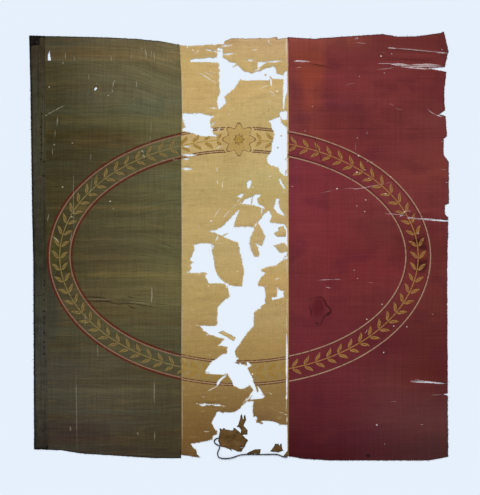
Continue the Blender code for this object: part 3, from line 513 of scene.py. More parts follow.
def paintGarland(tree, place, colour, spec):
    # Two fine lines a side, a row of leaf pairs on a stem, and a petalled rosette, in oil paint.
    # u runs up both sides from the foot of the oval to its crown, and v across the band.
    route = addNode(tree, "UVMap", uv_map="garland")[0]
    u, v = addNode(tree, "SeparateXYZ", {0: route})[:2]
    off = addNode(tree, "Math", {0: v}, operation="ABSOLUTE")[0]
    outer, middle, inner = (ink(code) for code in spec["lines"])
    wide = addNode(tree, "Math", {0: off, 1: 10.0}, operation="MULTIPLY")[0]
    lines = addNode(tree, "ValToRGB", {0: wide}, stops=[
        (0.370, inner[:3] + (0.0,)), (0.376, inner), (0.413, inner), (0.420, middle), (0.448, middle),
        (0.455, outer), (0.492, outer), (0.500, outer[:3] + (0.0,)),
    ])
    swept = addNode(tree, "Math", {0: off, 1: -0.9, 2: u}, operation="MULTIPLY_ADD")[0]
    turns = addNode(tree, "Math", {0: swept, 1: 1 / garland["leaf"]}, operation="MULTIPLY")[0]
    part = addNode(tree, "Math", {0: turns}, operation="FRACT")[0]
    fromAxis = addNode(tree, "Math", {0: part, 1: 0.5}, operation="SUBTRACT")[0]
    fromAxis = addNode(tree, "Math", {0: fromAxis}, operation="ABSOLUTE")[0]
    leafWidth = addNode(tree, "ValToRGB", {0: wide}, stops=[
        (0.02, (0.002, 0.002, 0.002, 1)), (0.10, (0.22, 0.22, 0.22, 1)), (0.17, (0.24, 0.24, 0.24, 1)),
        (0.25, (0.13, 0.13, 0.13, 1)), (0.32, (0.002, 0.002, 0.002, 1)),
    ])[0]
    share = addNode(tree, "Math", {0: fromAxis, 1: leafWidth}, operation="DIVIDE")[0]
    gilt, line = ink(spec["gilt"]), ink(spec["vein"])
    leaf = addNode(tree, "ValToRGB", {0: share}, stops=[
        (0.0, line), (0.10, line), (0.13, gilt), (0.80, gilt), (0.84, line), (0.97, line),
        (1.0, line[:3] + (0.0,)),
    ])
    inBand = addNode(tree, "Math", {0: off, 1: garland["half"]}, operation="LESS_THAN")[0]
    leafCover = addNode(tree, "Math", {0: leaf[1], 1: inBand}, operation="MULTIPLY")[0]
    stem = addNode(tree, "MapRange", {0: off, 1: 0.0022, 2: 0.0016})[0]

    # The rosette's radius swells once for each petal.
    offset = addNode(
        tree, "VectorMath", {0: place, 1: (*rosette["centre"], 0.0)}, operation="SUBTRACT"
    )[0]
    flat = addNode(tree, "VectorMath", {0: offset, 1: (1.0, 1.0, 0.0)}, operation="MULTIPLY")[0]
    radius = addNode(tree, "VectorMath", {0: flat}, operation="LENGTH")["Value"]
    parts = addNode(tree, "SeparateXYZ", {0: flat})
    angle = addNode(tree, "Math", {0: parts[1], 1: parts[0]}, operation="ARCTAN2")[0]
    petals = addNode(tree, "Math", {0: angle, 1: rosette["petals"]}, operation="MULTIPLY")[0]
    swell = addNode(tree, "Math", {0: petals}, operation="COSINE")[0]
    petal = addNode(
        tree, "Math", {0: swell, 1: rosette["swell"], 2: rosette["radius"]}, operation="MULTIPLY_ADD"
    )[0]
    reach = addNode(tree, "Math", {0: radius, 1: petal}, operation="DIVIDE")[0]
    flower = addNode(tree, "ValToRGB", {0: reach}, stops=[
        (0.0, gilt), (0.24, gilt), (0.26, line), (0.31, line), (0.33, gilt[:3] + (0.45,)),
        (0.88, gilt[:3] + (0.45,)), (0.90, line), (0.96, line), (0.97, line[:3] + (0.0,)),
    ])
    within = addNode(tree, "Math", {0: radius, 1: rosette["reach"]}, operation="LESS_THAN")[0]

    # The paint has flaked with the silk under it.
    flakes = addNode(tree, "TexNoise", {"Vector": place, "Scale": 160.0, "Detail": 3.0})["Fac"]
    kept = addNode(tree, "MapRange", {0: flakes, 1: 0.36, 2: 0.46, 3: 0.35, 4: spec["kept"]})[0]
    outside = addNode(tree, "Math", {0: 1.0, 1: within}, operation="SUBTRACT")[0]
    keptOutside = addNode(tree, "Math", {0: kept, 1: outside}, operation="MULTIPLY")[0]
    keptInside = addNode(tree, "Math", {0: kept, 1: within}, operation="MULTIPLY")[0]
    for paint, cover, keep in (
        (gilt, stem, keptOutside), (leaf[0], leafCover, keptOutside), (lines[0], lines[1], keptOutside),
        (flower[0], flower[1], keptInside),
    ):
        cover = addNode(tree, "Math", {0: cover, 1: keep}, operation="MULTIPLY")[0]
        colour = addNode(tree, "Mix", {"Factor": cover, 6: colour, 7: paint}, data_type="RGBA")[2]
    return colour


def plainClothMaterial(name, spec):
    # Cloth or thread without paint: its colour is mottled, and its weave shows as short bars.
    material, tree, shader, place = newMaterial(name)
    mottle = addNode(tree, "TexNoise", {"Vector": place, "Scale": spec["mottle"], "Detail": 5.0})["Fac"]
    colour = addNode(
        tree, "ValToRGB", {0: mottle}, stops=[(0.3, ink(spec["dark"])), (0.7, ink(spec["light"]))]
    )[0]
    if "heightColours" in spec:
        axes = addNode(tree, "SeparateXYZ", {0: place})
        byHeight = addHeightColours(tree, axes[0], axes[1], spec["heightColours"])
        colour = addNode(tree, "Mix", {"Factor": 0.75, 6: colour, 7: byHeight}, data_type="RGBA")[2]
    colour, bars = addWeave(tree, place, colour, spec["weave"])
    if "rim" in spec:
        colour = addWear(tree, colour, spec)
    shader.inputs["Roughness"].default_value = spec["roughness"]
    setFace(tree, shader, colour, bars, 0.05, 0.6)
    return material


def yarnMaterial(name, dark, light, roughness, mottle=60.0, weave=(300.0, 300.0, 2.0, 0.3)):
    # A thread has no borders or marks of its own, only its colours and its twist.
    spec = {"dark": dark, "light": light, "roughness": roughness, "mottle": mottle, "weave": (weave,)}
    return plainClothMaterial(name, spec)


# Cloth

def outlinesOf(node):
    # The edges of a node's top face as closed lines of (x, y), the longest way round first.
    solid = bmesh.new()
    solid.from_mesh(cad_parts[node].data)
    bmesh.ops.remove_doubles(solid, verts=solid.verts[:], dist=join)
    solid.normal_update()
    onward = {}
    for face in solid.faces:
        for corner in face.loops:
            beyond = corner.link_loop_radial_next.face
            if face.normal.z > 0.5 > beyond.normal.z:
                onward[corner.vert] = corner.link_loop_next.vert
    lines = []
    while onward:
        start, here = onward.popitem()
        line = [start.co.xy[:]]
        while here is not start:
            line.append(here.co.xy[:])
            here = onward.pop(here)
        lines.append(line)
    solid.free()
    return sorted(lines, key=lambda line: -sum(math.dist(a, b) for a, b in zip(line, line[1:])))


def ragged(line, wear, seed):
    # Teeth along a closed line. wear gives how far they may stand off it at (x, y).
    rng = random.Random(seed)
    teeth = []
    for (x0, y0), (x1, y1) in zip(line, line[1:] + line[:1]):
        length = math.dist((x0, y0), (x1, y1))
        steps = max(1, round(length / toothStep))
        for i in range(steps):
            along = (i + (rng.uniform(-0.3, 0.3) if i else 0.0)) / steps
            x, y = x0 + (x1 - x0) * along, y0 + (y1 - y0) * along
            reach = wear(x, y) if i else 0.0
            if reach:
                slow = noise.noise((x * 60, y * 60, 3.0))
                off = reach * (0.9 * slow + rng.uniform(-0.7, 0.7))
                x, y = x - (y1 - y0) / length * off, y + (x1 - x0) / length * off
            teeth.append((x, y))
    return teeth


def strokeOutline(points, width, seed):
    # A line with both ends pointed and sides that waver, as a closed outline.
    rng = random.Random(seed)
    step, taper = 0.006, 2.5
    fine = [Vector(points[0])]
    for a, b in zip(points, points[1:]):
        a, b = Vector(a), Vector(b)
        count = max(1, round((b - a).length / step))
        fine += [a.lerp(b, (i + 1) / count) for i in range(count)]
    if len(fine) < 3:
        fine.insert(1, (fine[0] + fine[-1]) / 2)
    sides = ([], [])
    for i in range(1, len(fine) - 1):
        run = (fine[i + 1] - fine[i - 1]).normalized()
        half = width / 2 * min(1.0, taper * i / len(fine), taper * (len(fine) - 1 - i) / len(fine))
        for side, sign in zip(sides, (1, -1)):
            reach = sign * half * rng.uniform(0.55, 1.25)
            side.append((fine[i].x - run.y * reach, fine[i].y + run.x * reach))
    return [fine[0][:], *sides[0], fine[-1][:], *reversed(sides[1])]


def spotOutline(x, y, size, seed):
    rng = random.Random(seed)
    sides = 9
    turns = [2 * math.pi * i / sides for i in range(sides)]
    reach = [size / 2 * rng.uniform(0.6, 1.3) for _ in turns]
    return [(x + r * math.cos(t) * 1.1, y + r * math.sin(t) * 0.95) for t, r in zip(turns, reach)]


def marksOf(marks, spots, seed):
    # Outlines of the pale and dark marks, each with its tone. Loose threads add to the pale ones.
    found = [
        (strokeOutline(points, width, f"{seed} {i}"), tone * (0.4 + 0.4 * tone) if tone > 0 else tone)
        for i, (tone, width, *points) in enumerate(marks)
    ]
    return found + [
        (spotOutline(x, y, size, f"{seed} spot {i}"), tone) for i, (tone, size, (x, y)) in enumerate(spots)
    ]


def isWithin(points, lines):
    # Which points lie inside the closed lines, by how many of them a ray crosses.
    order = np.argsort(points[:, 1])
    x, y = points[order, 0], points[order, 1]
    odd = np.zeros(len(points), bool)
    for line in lines:
        for (x0, y0), (x1, y1) in zip(line, line[1:] + line[:1]):
            if y0 != y1:
                first, last = np.searchsorted(y, sorted((y0, y1)))
                part = slice(first, last)
                odd[part] ^= x[part] < x0 + (x1 - x0) * (y[part] - y0) / (y1 - y0)
    result = np.zeros(len(points), bool)
    result[order] = odd
    return result


def treeOf(points):
    tree = kdtree.KDTree(len(points))
    for i, (x, y) in enumerate(points):
        tree.insert((x, y, 0.0), i)
    tree.balance()
    return tree


def distances(points, borders):
    if not len(borders):
        return np.full(len(points), edgeReach)
    nearby = treeOf(borders)
    return np.array([min(edgeReach, nearby.find((x, y, 0.0))[2]) for x, y in points])


def garlandMap(points):
    # The place of each point along and across the painted oval, whose halves mirror each other.
    samples, block = 500, 4000  # on half the oval, and as many points as are measured at once
    turns = np.linspace(-math.pi / 2, math.pi / 2, samples)
    wide, high = garland["halfWidth"], garland["halfHeight"]
    line = np.stack([wide * np.cos(turns), high * np.sin(turns)], axis=1)
    run = np.stack([-wide * np.sin(turns), high * np.cos(turns)], axis=1)
    run /= np.linalg.norm(run, axis=1)[:, None]
    travelled = np.concatenate([[0.0], np.cumsum(np.linalg.norm(np.diff(line, axis=0), axis=1))])
    places = np.stack([np.abs(points[:, 0] - garland["x"]), points[:, 1] - garland["y"]], axis=1)
    nearest = np.empty(len(places), int)
    for i in range(0, len(places), block):
        some = places[i:i + block]
        gaps = (some[:, None, 0] - line[None, :, 0]) ** 2 + (some[:, None, 1] - line[None, :, 1]) ** 2
        nearest[i:i + block] = gaps.argmin(axis=1)
    away = places - line[nearest]
    ahead = run[nearest]
    u = travelled[nearest] + (away * ahead).sum(axis=1)
    v = away[:, 0] * ahead[:, 1] - away[:, 1] * ahead[:, 0]
    return np.stack([u, v], axis=1)


def ridgeHeight(x, y, ridges):
    height = np.zeros(len(x))
    for x0, y0, x1, y1, rise, reach in ridges:
        dx, dy = x1 - x0, y1 - y0
        along = np.clip(((x - x0) * dx + (y - y0) * dy) / (dx * dx + dy * dy), 0.0, 1.0)
        away = np.hypot(x - x0 - along * dx, y - y0 - along * dy)
        profile = 0.5 + 0.5 * np.cos(math.pi * np.minimum(away / reach, 1.0))
        height = np.maximum(height, rise * profile * np.sin(math.pi * along))
    return height


def waves(x, y, scaleX, scaleY, seed):
    # Slow noise from 0 to 1.
    places = zip(x * scaleX, y * scaleY)
    return np.array([0.5 + 0.5 * noise.noise((a, b, seed)) for a, b in places])


def ripples(x, y, rise, seed):
    # Fine waves along the weft, whose crests wander.
    return rise * waves(x, y + 0.05 * waves(x, y, 3, 4, seed), 7, 75, seed + 0.5)


def isBorder(x, y):
    # At the head, foot, hoist and fly edges.
    return (np.abs(y) > 0.785) | (np.abs(x) > 0.775)


def isSleeveEdge(x, y):
    return (x < -0.78) | (y > 0.803) | (y < -0.775)


def isTorn(x, y):
    return (np.abs(x - hoistSeamX) > 0.002) & (np.abs(x - flySeamX) > 0.002)


def isTornCentre(x, y):
    return (x > hoistSeamX - 0.004) & (x < flySeamX + 0.004)


def fillLines(lines, cuts, tongues, tones, spacing, seed):
    # Flat points, triangles that fill the lines, less the cuts and with the tongues, and their middles.
    rng = random.Random(seed)
    points, edges = [], []
    for line in [*lines, *cuts, *tongues, *tones]:
        first = len(points)
        points += line
        edges += [(first + i, first + (i + 1) % len(line)) for i in range(len(line))]
    borders = treeOf(points)
    low, high = spanOf(lines[0])
    columns, rows = np.ceil((high - low) / spacing).astype(int)
    inner = np.array([
        (low[0] + (i + rng.uniform(0.2, 0.8)) * spacing[0],
         low[1] + (j + rng.uniform(0.2, 0.8)) * spacing[1])
        for i in range(columns) for j in range(rows)
    ])
    inner = inner[isWithin(inner, lines)]
    points += [(x, y) for x, y in inner if borders.find((x, y, 0.0))[2] > spacing[1] * 0.45]
    found = delaunay_2d_cdt([Vector(p) for p in points], edges, [], 0, join)
    flat, triangles = np.array([p[:] for p in found[0]]), np.array(found[2])
    middles = flat[triangles].mean(axis=1)
    kept = isWithin(middles, lines)
    for cut in cuts:
        kept &= ~isWithin(middles, [cut])
    for tongue in tongues:
        kept |= isWithin(middles, [tongue])
    used, triangles = np.unique(triangles[kept], return_inverse=True)
    return flat[used], triangles.reshape(-1, 3), middles[kept]


def spanOf(line):
    ends = np.array(line)
    return ends.min(axis=0), ends.max(axis=0)


def bordersOf(triangles):
    # The sides that only one triangle has, each with the cloth on its left.
    spans = np.concatenate([triangles[:, [0, 1]], triangles[:, [1, 2]], triangles[:, [2, 0]]])
    _, place, uses = np.unique(np.sort(spans, axis=1), axis=0, return_index=True, return_counts=True)
    return spans[place[uses == 1]]


def addMaps(mesh, flat, low, high):
    # One map follows the painted oval, and the other lays the face and the back side by side.
    corner = np.empty(len(mesh.loops), int)
    mesh.loops.foreach_get("vertex_index", corner)
    route = np.tile(garlandMap(flat), (2, 1))
    mesh.uv_layers.new(name="garland").data.foreach_set("uv", route[corner].ravel())
    size = (high - low).max() * 1.02
    face = (flat - low) / size
    back = face * (0.2, 1.0) + (0.79, 0.0)
    if (high - low)[0] > 0.77 * size:
        face = face * (0.77, 1.0)
    spread = np.concatenate([face, back])
    mesh.uv_layers.new(name="OFBake").data.foreach_set("uv", (spread[corner] + 0.004).ravel())


def addPiece(name, data):
    piece = bpy.data.objects.new(name, data)
    bpy.context.scene.collection.objects.link(piece)
    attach(piece, "root")
    return piece


def makeCloth(name, material, lines, lift, cuts=(), tongues=(), marks=(), isFree=isTorn, isHem=isBorder,
              spacing=weaveStep, curl=0.0009):
    # A closed thin shell. Its torn edges curl up a little, and they are worn thin.
    looseReach, thinReach = 0.014, 0.006
    flat, triangles, middles = fillLines(lines, cuts, tongues, [line for line, _ in marks], spacing, name)
    rim = bordersOf(triangles)
    starts, stops = flat[rim[:, 0]], flat[rim[:, 1]]
    thirds = np.concatenate([starts + (stops - starts) * k / 3 for k in range(3)])
    edge = distances(flat, thirds[isFree(*thirds.T)])
    hem = distances(flat, thirds[isHem(*thirds.T)])

    x, y = flat[:, 0], flat[:, 1]
    loose = np.clip(1 - edge / looseReach, 0.0, 1.0)
    curled = curl * loose * np.maximum(0.0, waves(x, y, 45, 45, 7.0) * 3 - 1.3)
    bottom = lift(x, y) * (1 - 0.8 * loose) + curled
    count = len(flat)
    top = bottom + silkThickness * (0.4 + 0.6 * np.clip(edge / thinReach, 0.0, 1.0))
    vertices = np.concatenate([np.column_stack([flat, top]), np.column_stack([flat, bottom])])
    walls = np.column_stack([rim[:, 0] + count, rim[:, 1] + count, rim[:, 1], rim[:, 0]])
    faces = [*triangles.tolist(), *(triangles[:, ::-1] + count).tolist(), *walls.tolist()]
    mesh = bpy.data.meshes.new(name)
    mesh.from_pydata(vertices.tolist(), [], faces)
    for title, values in (("edge", edge), ("hem", hem)):
        mesh.attributes.new(title, "FLOAT", "POINT").data.foreach_set("value", np.tile(values, 2))
    tones = np.zeros(len(triangles))
    for line, tone in marks:
        tones[isWithin(middles, [line])] = tone
    corners = np.concatenate([np.repeat(tones, 3), np.zeros(len(mesh.loops) - 3 * len(tones))])
    mesh.attributes.new("mark", "FLOAT", "CORNER").data.foreach_set("value", corners)
    addMaps(mesh, flat, *spanOf(lines[0]))
    mesh.materials.append(material)
    mesh.shade_smooth()
    mesh.set_sharp_from_angle(angle=math.radians(50))
    cloth = addPiece(name, mesh)
    a, b, c = (flat[triangles[:, k]] for k in range(3))
    area = abs(np.cross(b - a, c - a).sum()) / 2
    free = isFree(*((starts + stops) / 2).T)
    torn = np.column_stack([starts, top[rim[:, 0]], stops, top[rim[:, 1]]])[free]
    print(f"{name}: {len(faces)} faces, {area:.3f} square metres")
    return cloth, float(area), torn


def smoothRoute(route, step):
    # Points at even steps on the smooth curve that passes through each point of the route.
    knots = [Vector(point) for point in route]
    knots = [2 * knots[0] - knots[1], *knots, 2 * knots[-1] - knots[-2]]
    fine = []
    for a, b, c, d in zip(knots, knots[1:], knots[2:], knots[3:]):
        for i in range(16):
            t = i / 16
            bend = (2 * a - 5 * b + 4 * c - d) * t**2 + (3 * b - a - 3 * c + d) * t**3
            fine.append((2 * b + (c - a) * t + bend) / 2)
    fine.append(knots[-2])
    travelled = [0.0]
    for start, end in zip(fine, fine[1:]):
        travelled.append(travelled[-1] + (end - start).length)
    count = round(travelled[-1] / step)
    points, k = [], 0
    for i in range(count + 1):
        wanted = travelled[-1] * i / count
        while k < len(fine) - 2 and travelled[k + 1] < wanted:
            k += 1
        share = (wanted - travelled[k]) / (travelled[k + 1] - travelled[k])
        points.append(fine[k].lerp(fine[k + 1], min(1.0, share)))
    return points, travelled[-1]


def makeStrands(name, strands, material):
    # Fine three-sided threads, each a list of (x, y, z, radius), closed at both ends.
    vertices, faces = [], []
    for strand in strands:
        first = len(vertices)
        for i, (x, y, z, radius) in enumerate(strand):
            behind, ahead = strand[max(i - 1, 0)], strand[min(i + 1, len(strand) - 1)]
            run = Vector((ahead[0] - behind[0], ahead[1] - behind[1])).normalized()
            for k in range(3):
                angle = 2 * math.pi * k / 3 + math.pi / 2
                side = radius * math.cos(angle)
                vertices.append((x - run.y * side, y + run.x * side, z + radius * math.sin(angle)))
        for i in range(first, len(vertices) - 3, 3):
            faces += [(i + k, i + (k + 1) % 3, i + 3 + (k + 1) % 3, i + 3 + k) for k in range(3)]
        last = len(vertices) - 3
        faces += [(first, first + 2, first + 1), (last, last + 1, last + 2)]
    mesh = bpy.data.meshes.new(name)
    mesh.from_pydata(vertices, [], faces)
    mesh.materials.append(material)
    mesh.shade_smooth()
    print(f"{name}: {len(strands)} threads")
    return addPiece(name, mesh)


def frayedThreads(borders, spacing, reach, longest, seed):
    # Broken threads along torn borders, each as its two ends with the cloth on the left.
    rng = random.Random(seed)
    root, joints = 0.0025, 4  # a thread starts this far inside the edge, and bends at its joints
    strands = []
    for x0, y0, z0, x1, y1, z1 in borders:
        length = math.dist((x0, y0), (x1, y1))
        for _ in range(int(length / spacing + rng.random())):
            share = rng.random()
            x, y, z = x0 + (x1 - x0) * share, y0 + (y1 - y0) * share, z0 + (z1 - z0) * share
            outX, outY = (y1 - y0) / length, (x0 - x1) / length
            if abs(outX) > abs(outY):  # a thread keeps to the weave's two directions
                outX += math.copysign(1.2, outX)
            else:
                outY += math.copysign(1.2, outY)
            turn = math.atan2(outY, outX) + rng.gauss(0.0, 0.25)
            bend = rng.gauss(0.0, 0.5)
            whole = min(longest, reach * (0.5 + rng.expovariate(1.0)))
            x, y = x - root * math.cos(turn), y - root * math.sin(turn)
            strand = [(x, y, z - 0.0002, 0.00018)]
            for i in range(1, joints + 1):
                step = root if i == 1 else whole / 3
                x, y = x + step * math.cos(turn), y + step * math.sin(turn)
                fall = z + 0.0001 if i == 1 else max(0.0004, z * (1 - i / joints))
                strand.append((x, y, fall, 0.00022 if i < joints else 0.00012))
                turn += bend * 0.5
            strands.append(strand)
    return strands


def ladderThreads(marks, lift, seed):
    # Long threads left bare along each pale mark, where the threads across them have broken.
    rng = random.Random(seed)
    gap, radius = 0.0008, 0.0003  # between bared threads in the palest mark, and of a thread
    strands = []
    for tone, width, *points in marks:
        if tone <= 0:
            continue
        line, _ = smoothRoute(points, 0.005)
        line = [line[0], (line[0] + line[-1]) / 2, line[-1]] if len(line) < 3 else line
        for _ in range(int(width * tone / gap)):
            first = int(rng.uniform(0.0, 0.3) * (len(line) - 2))
            part = line[first:max(first + 3, int(rng.uniform(0.7, 1.0) * len(line)))]
            aside, swing = rng.uniform(-0.5, 0.5) * width, rng.uniform(-0.3, 0.3) * width
            places = []
            for i, here in enumerate(part):
                run = (part[min(i + 1, len(part) - 1)] - part[max(i - 1, 0)]).normalized()
                off = aside + swing * math.sin(3 * i / len(part)) + rng.uniform(-0.0002, 0.0002)
                places.append((here.x - run.y * off, here.y + run.x * off))
            heights = lift(*np.array(places).T) + silkThickness
            bow = rng.uniform(0.0002, 0.0009)
            strands.append([
                (x, y, z + bow * math.sin(math.pi * i / (len(places) - 1)), radius)
                for i, ((x, y), z) in enumerate(zip(places, heights))
            ])
    return strands


def seamStitches(x, top, foot, step, length, lift, seed):
    # Hand sewing along a seam: short stitches that sink into the cloth at both ends.
    rng = random.Random(seed)
    stray, rise, radius = 0.0006, 0.0005, 0.0004
    strands = []
    for i in range(int((top - foot) / step)):
        y = top - i * step + rng.uniform(-stray, stray)
        middle = x + rng.uniform(-0.0005, 0.0005)
        lean = rng.uniform(-stray, stray)
        places = np.array([(middle - lean, y), (middle, y - length / 2), (middle + lean, y - length)])
        heights = lift(places[:, 0], places[:, 1]) + silkThickness
        strands.append([
            (px, py, z + up, radius) for (px, py), z, up in zip(places, heights, (0.0, rise, 0.0))
        ])
    return strands


def seamLift(x, seam, side):
    return lapRise * np.clip((lapShelf + lapRamp - side * (x - seam)) / lapRamp, 0.0, 1.0)


def hoistLift(x, y):
    slow = 0.0016 * waves(x, y, 5, 22, 1.0) * waves(x, y, 2, 3, 2.0)
    clear = np.clip((x + 0.735) / 0.02, 0.0, 1.0)  # it lies flat under the sleeve
    shape = ridgeHeight(x, y, hoistRidges) + slow + ripples(x, y, 0.0009, 1.0)
    return seamLift(x, hoistSeamX, -1) + shape * clear


def centreLift(x, y):
    slow = 0.0014 * waves(x, y, 9, 24, 3.0)
    inside = np.clip(np.minimum(x - hoistSeamX, flySeamX - x) / 0.015, 0.0, 1.0)
    return (ridgeHeight(x, y, centreRidges) + slow + ripples(x, y, 0.0007, 3.0)) * inside


def flyLift(x, y):
    slow = 0.0018 * waves(x, y, 4, 18, 5.0) * waves(x, y, 2, 2, 6.0)
    return seamLift(x, flySeamX, 1) + ridgeHeight(x, y, flyRidges) + slow + ripples(x, y, 0.0008, 5.0)


def bandLift(x, y):
    return 0.0015 + 0.0006 * waves(x, y, 60, 30, 9.0)


def patchLift(x, y):
    return 0.0030 + 0.0006 * waves(x, y, 80, 80, 9.5)


def scrapLift(x, y):
    return 0.0008 * waves(x, y, 40, 40, 11.0)


def wearOf(holes, outer):
    # How ragged an edge is: outer at the hems, none at a seam, and holes everywhere else.
    seamHalf = 0.012

    def wear(x, y):
        if abs(x - hoistSeamX) < seamHalf or abs(x - flySeamX) < seamHalf:
            return 0.0
        return outer if abs(y) > 0.80 or x < -0.78 else holes
    return wear


# The three panels. Lengths in a spec are in millimetres, and the scales of its noise are per metre.

# Each panel's colours by height grow darker towards the foot.
hoistSpec = {
    "heightColours": (
        (-800, -720, {
            790: "#443d2c", 770: "#4b4330", 740: "#55472e", 714: "#56482f", 709: "#453f29",
            600: "#413c26", 550: "#3c3a26", 490: "#3f3922", 427: "#39321b", 350: "#38331e",
            195: "#3f3923", 60: "#3c3721", -35: "#3c391f", -112: "#37301e", -200: "#49422e",
            -285: "#46402f", -380: "#3f3b2b", -500: "#453f34", -600: "#434032", -670: "#3b342b",
            -750: "#332b25", -790: "#2e2824",
        }),
        (-700, -530, {
            790: "#5c533d", 770: "#64583c", 740: "#6d5d3d", 714: "#6b5d3e", 709: "#5f573b",
            660: "#605840", 600: "#5b5540", 490: "#524d33", 430: "#493f24", 350: "#453e28",
            270: "#4a432e", 195: "#4c462d", 60: "#4e4730", -35: "#514630", -112: "#564c30",
            -170: "#554c33", -220: "#54482e", -285: "#534b31", -380: "#4b4532", -600: "#4e4737",
            -670: "#474034", -750: "#443b2d", -790: "#3d352b",
        }),
        (-530, -270, {
            770: "#6d6245", 740: "#766949", 714: "#7b6d4a", 709: "#6f6546", 660: "#6a6447",
            550: "#676246", 430: "#65603f", 350: "#5f5b3f", 195: "#5d5a3c", 60: "#5c5639", -35: "#5b583a",
            -112: "#69613e", -200: "#635b3a", -285: "#575136", -380: "#4d4932", -500: "#4d4833",
            -600: "#48412e", -670: "#423b2a", -750: "#413826", -790: "#3c3426",
        }),
    ),
    "clouds": (
        ("#4a371c", 1.5, 22.0, 0.52, 0.66, 0.25), ("#4c5443", 2.0, 26.0, 0.50, 0.66, 0.15),
        ("#7b6d3c", 4.0, 60.0, 0.56, 0.72, 0.11), ("#37361f", 5.0, 60.0, 0.58, 0.74, 0.22),
        ("#74602c", 14.0, 45.0, 0.54, 0.70, 0.13), ("#3c4434", 18.0, 60.0, 0.54, 0.70, 0.16),
    ),
    "stains": (
        (-480, 481, 280, 12, "#857548", 0.12), (-380, 512, 200, 10, "#2a2816", 0.11),
        (-580, 450, 200, 12, "#2a2816", 0.08), (-320, 381, 120, 8, "#857548", 0.12),
        (-380, 358, 200, 8, "#2a2816", 0.11), (-420, 169, 300, 12, "#2a2816", 0.11),
        (-500, 146, 260, 9, "#8a6c3c", 0.15), (-500, 119, 300, 11, "#2a2816", 0.11),
        (-420, 81, 140, 10, "#857548", 0.1), (-380, 52, 220, 11, "#2a2816", 0.12),
        (-370, 21, 200, 10, "#857548", 0.1), (-370, -19, 220, 10, "#2a2816", 0.12),
        (-520, -44, 200, 9, "#857548", 0.1), (-550, -62, 200, 11, "#2a2816", 0.15),
        (-420, -110, 260, 12, "#8f7c44", 0.17), (-380, -145, 200, 10, "#2a2816", 0.15),
        (-600, -170, 150, 8, "#857548", 0.1), (-620, -197, 130, 8, "#2a2816", 0.15),
        (-360, -225, 150, 10, "#857548", 0.1), (-650, -308, 80, 14, "#2a2816", 0.15),
        (-450, -397, 250, 12, "#7a6c48", 0.12), (-450, -522, 250, 10, "#2a2816", 0.15),
        (-450, -558, 250, 11, "#7a6c48", 0.12), (-450, -720, 250, 12, "#241c16", 0.12),
        (-500, 400, 160, 28, "#54422a", 0.4), (-680, 190, 70, 60, "#453a1c", 0.4),
        (-340, 540, 120, 40, "#59604c", 0.35), (-720, -200, 30, 150, "#36382f", 0.6),
        (-715, -30, 20, 90, "#4c4a22", 0.5), (-600, -720, 120, 50, "#3a2b28", 0.5),
    ),
    "weave": (
        (3.5, 125.0, 2.0, 0.60), (12.0, 250.0, 2.0, 0.62), (150.0, 6.0, 3.0, 0.50), (1.5, 26.0, 2.0, 0.22),
        (160.0, 210.0, 1.0, 0.44),
    ),
    "sway": 30,
    "pulls": (
        (-200, 620, 260, 240, 60), (-200, 380, 200, 90, -22), (-200, 177, 220, 120, -28),
        (-200, -15, 240, 110, 32), (-620, 660, 140, 100, -12), (-450, -600, 250, 120, 14),
    ),
    "lines": ("#521a15", "#521a15", "#8f6c58"), "gilt": "#857343", "vein": "#4a2a1a", "kept": 0.85,
    # The dark tint at the torn edges is painted shade round the tears and along the edges.
    "thread": "#cfc8b0", "torn": "#221d12", "tornShare": 0.6,
    "rim": "#15110c", "rimShare": 0.85, "rimReach": 5,
}
centreSpec = {
    "heightColours": (
        (-200, -190, {
            770: "#bb9e6b", 720: "#c0a56c", 600: "#c4a66c", 430: "#c0a46d", 350: "#bea46d",
            195: "#b29c65", 130: "#bba069", 60: "#b8a068", -110: "#b59c66", -170: "#b09760",
            -220: "#ad935c", -285: "#aa8f5c", -380: "#9f8450", -500: "#91794a", -590: "#83683c",
            -670: "#785c34", -750: "#70542e", -800: "#664d2d",
        }),
        (-150, 140, {
            790: "#c4a479", 700: "#c3a771", 600: "#c7aa72", 490: "#bea770", 430: "#c1a56d",
            270: "#beab74", 195: "#b7a168", 60: "#c0a472", -35: "#b8a373", -110: "#bb9d64",
            -170: "#b89964", -220: "#b09662", -285: "#ae9462", -380: "#a38652", -500: "#94794a",
            -590: "#866b40", -670: "#7f643f", -750: "#6c512f", -800: "#644b2c",
        }),
    ),
    "clouds": (
        ("#8f6d3a", 3.0, 20.0, 0.55, 0.70, 0.14), ("#dcc590", 30.0, 60.0, 0.58, 0.72, 0.12),
        ("#7d6c30", 30.0, 40.0, 0.54, 0.70, 0.16),
    ),
    "stains": (
        (-30, 350, 60, 80, "#a98b55", 0.3), (20, -700, 150, 80, "#5a4224", 0.3),
    ),
    "weave": (
        (4.0, 110.0, 3.0, 0.22), (30.0, 240.0, 2.0, 0.26), (180.0, 14.0, 2.0, 0.20),
        (14.0, 30.0, 3.0, 0.14), (170.0, 210.0, 1.0, 0.32),
    ),
    "sway": 30,
    "pulls": (),
    "lines": ("#55301f", "#a9896a", "#55301f"), "gilt": "#9f7f35", "vein": "#6a4930", "kept": 0.9,
    "thread": "#f3ead6", "torn": "#ece0c4", "tornShare": 0.15,
    "rim": "#33230f", "rimShare": 0.5, "rimReach": 4,
}
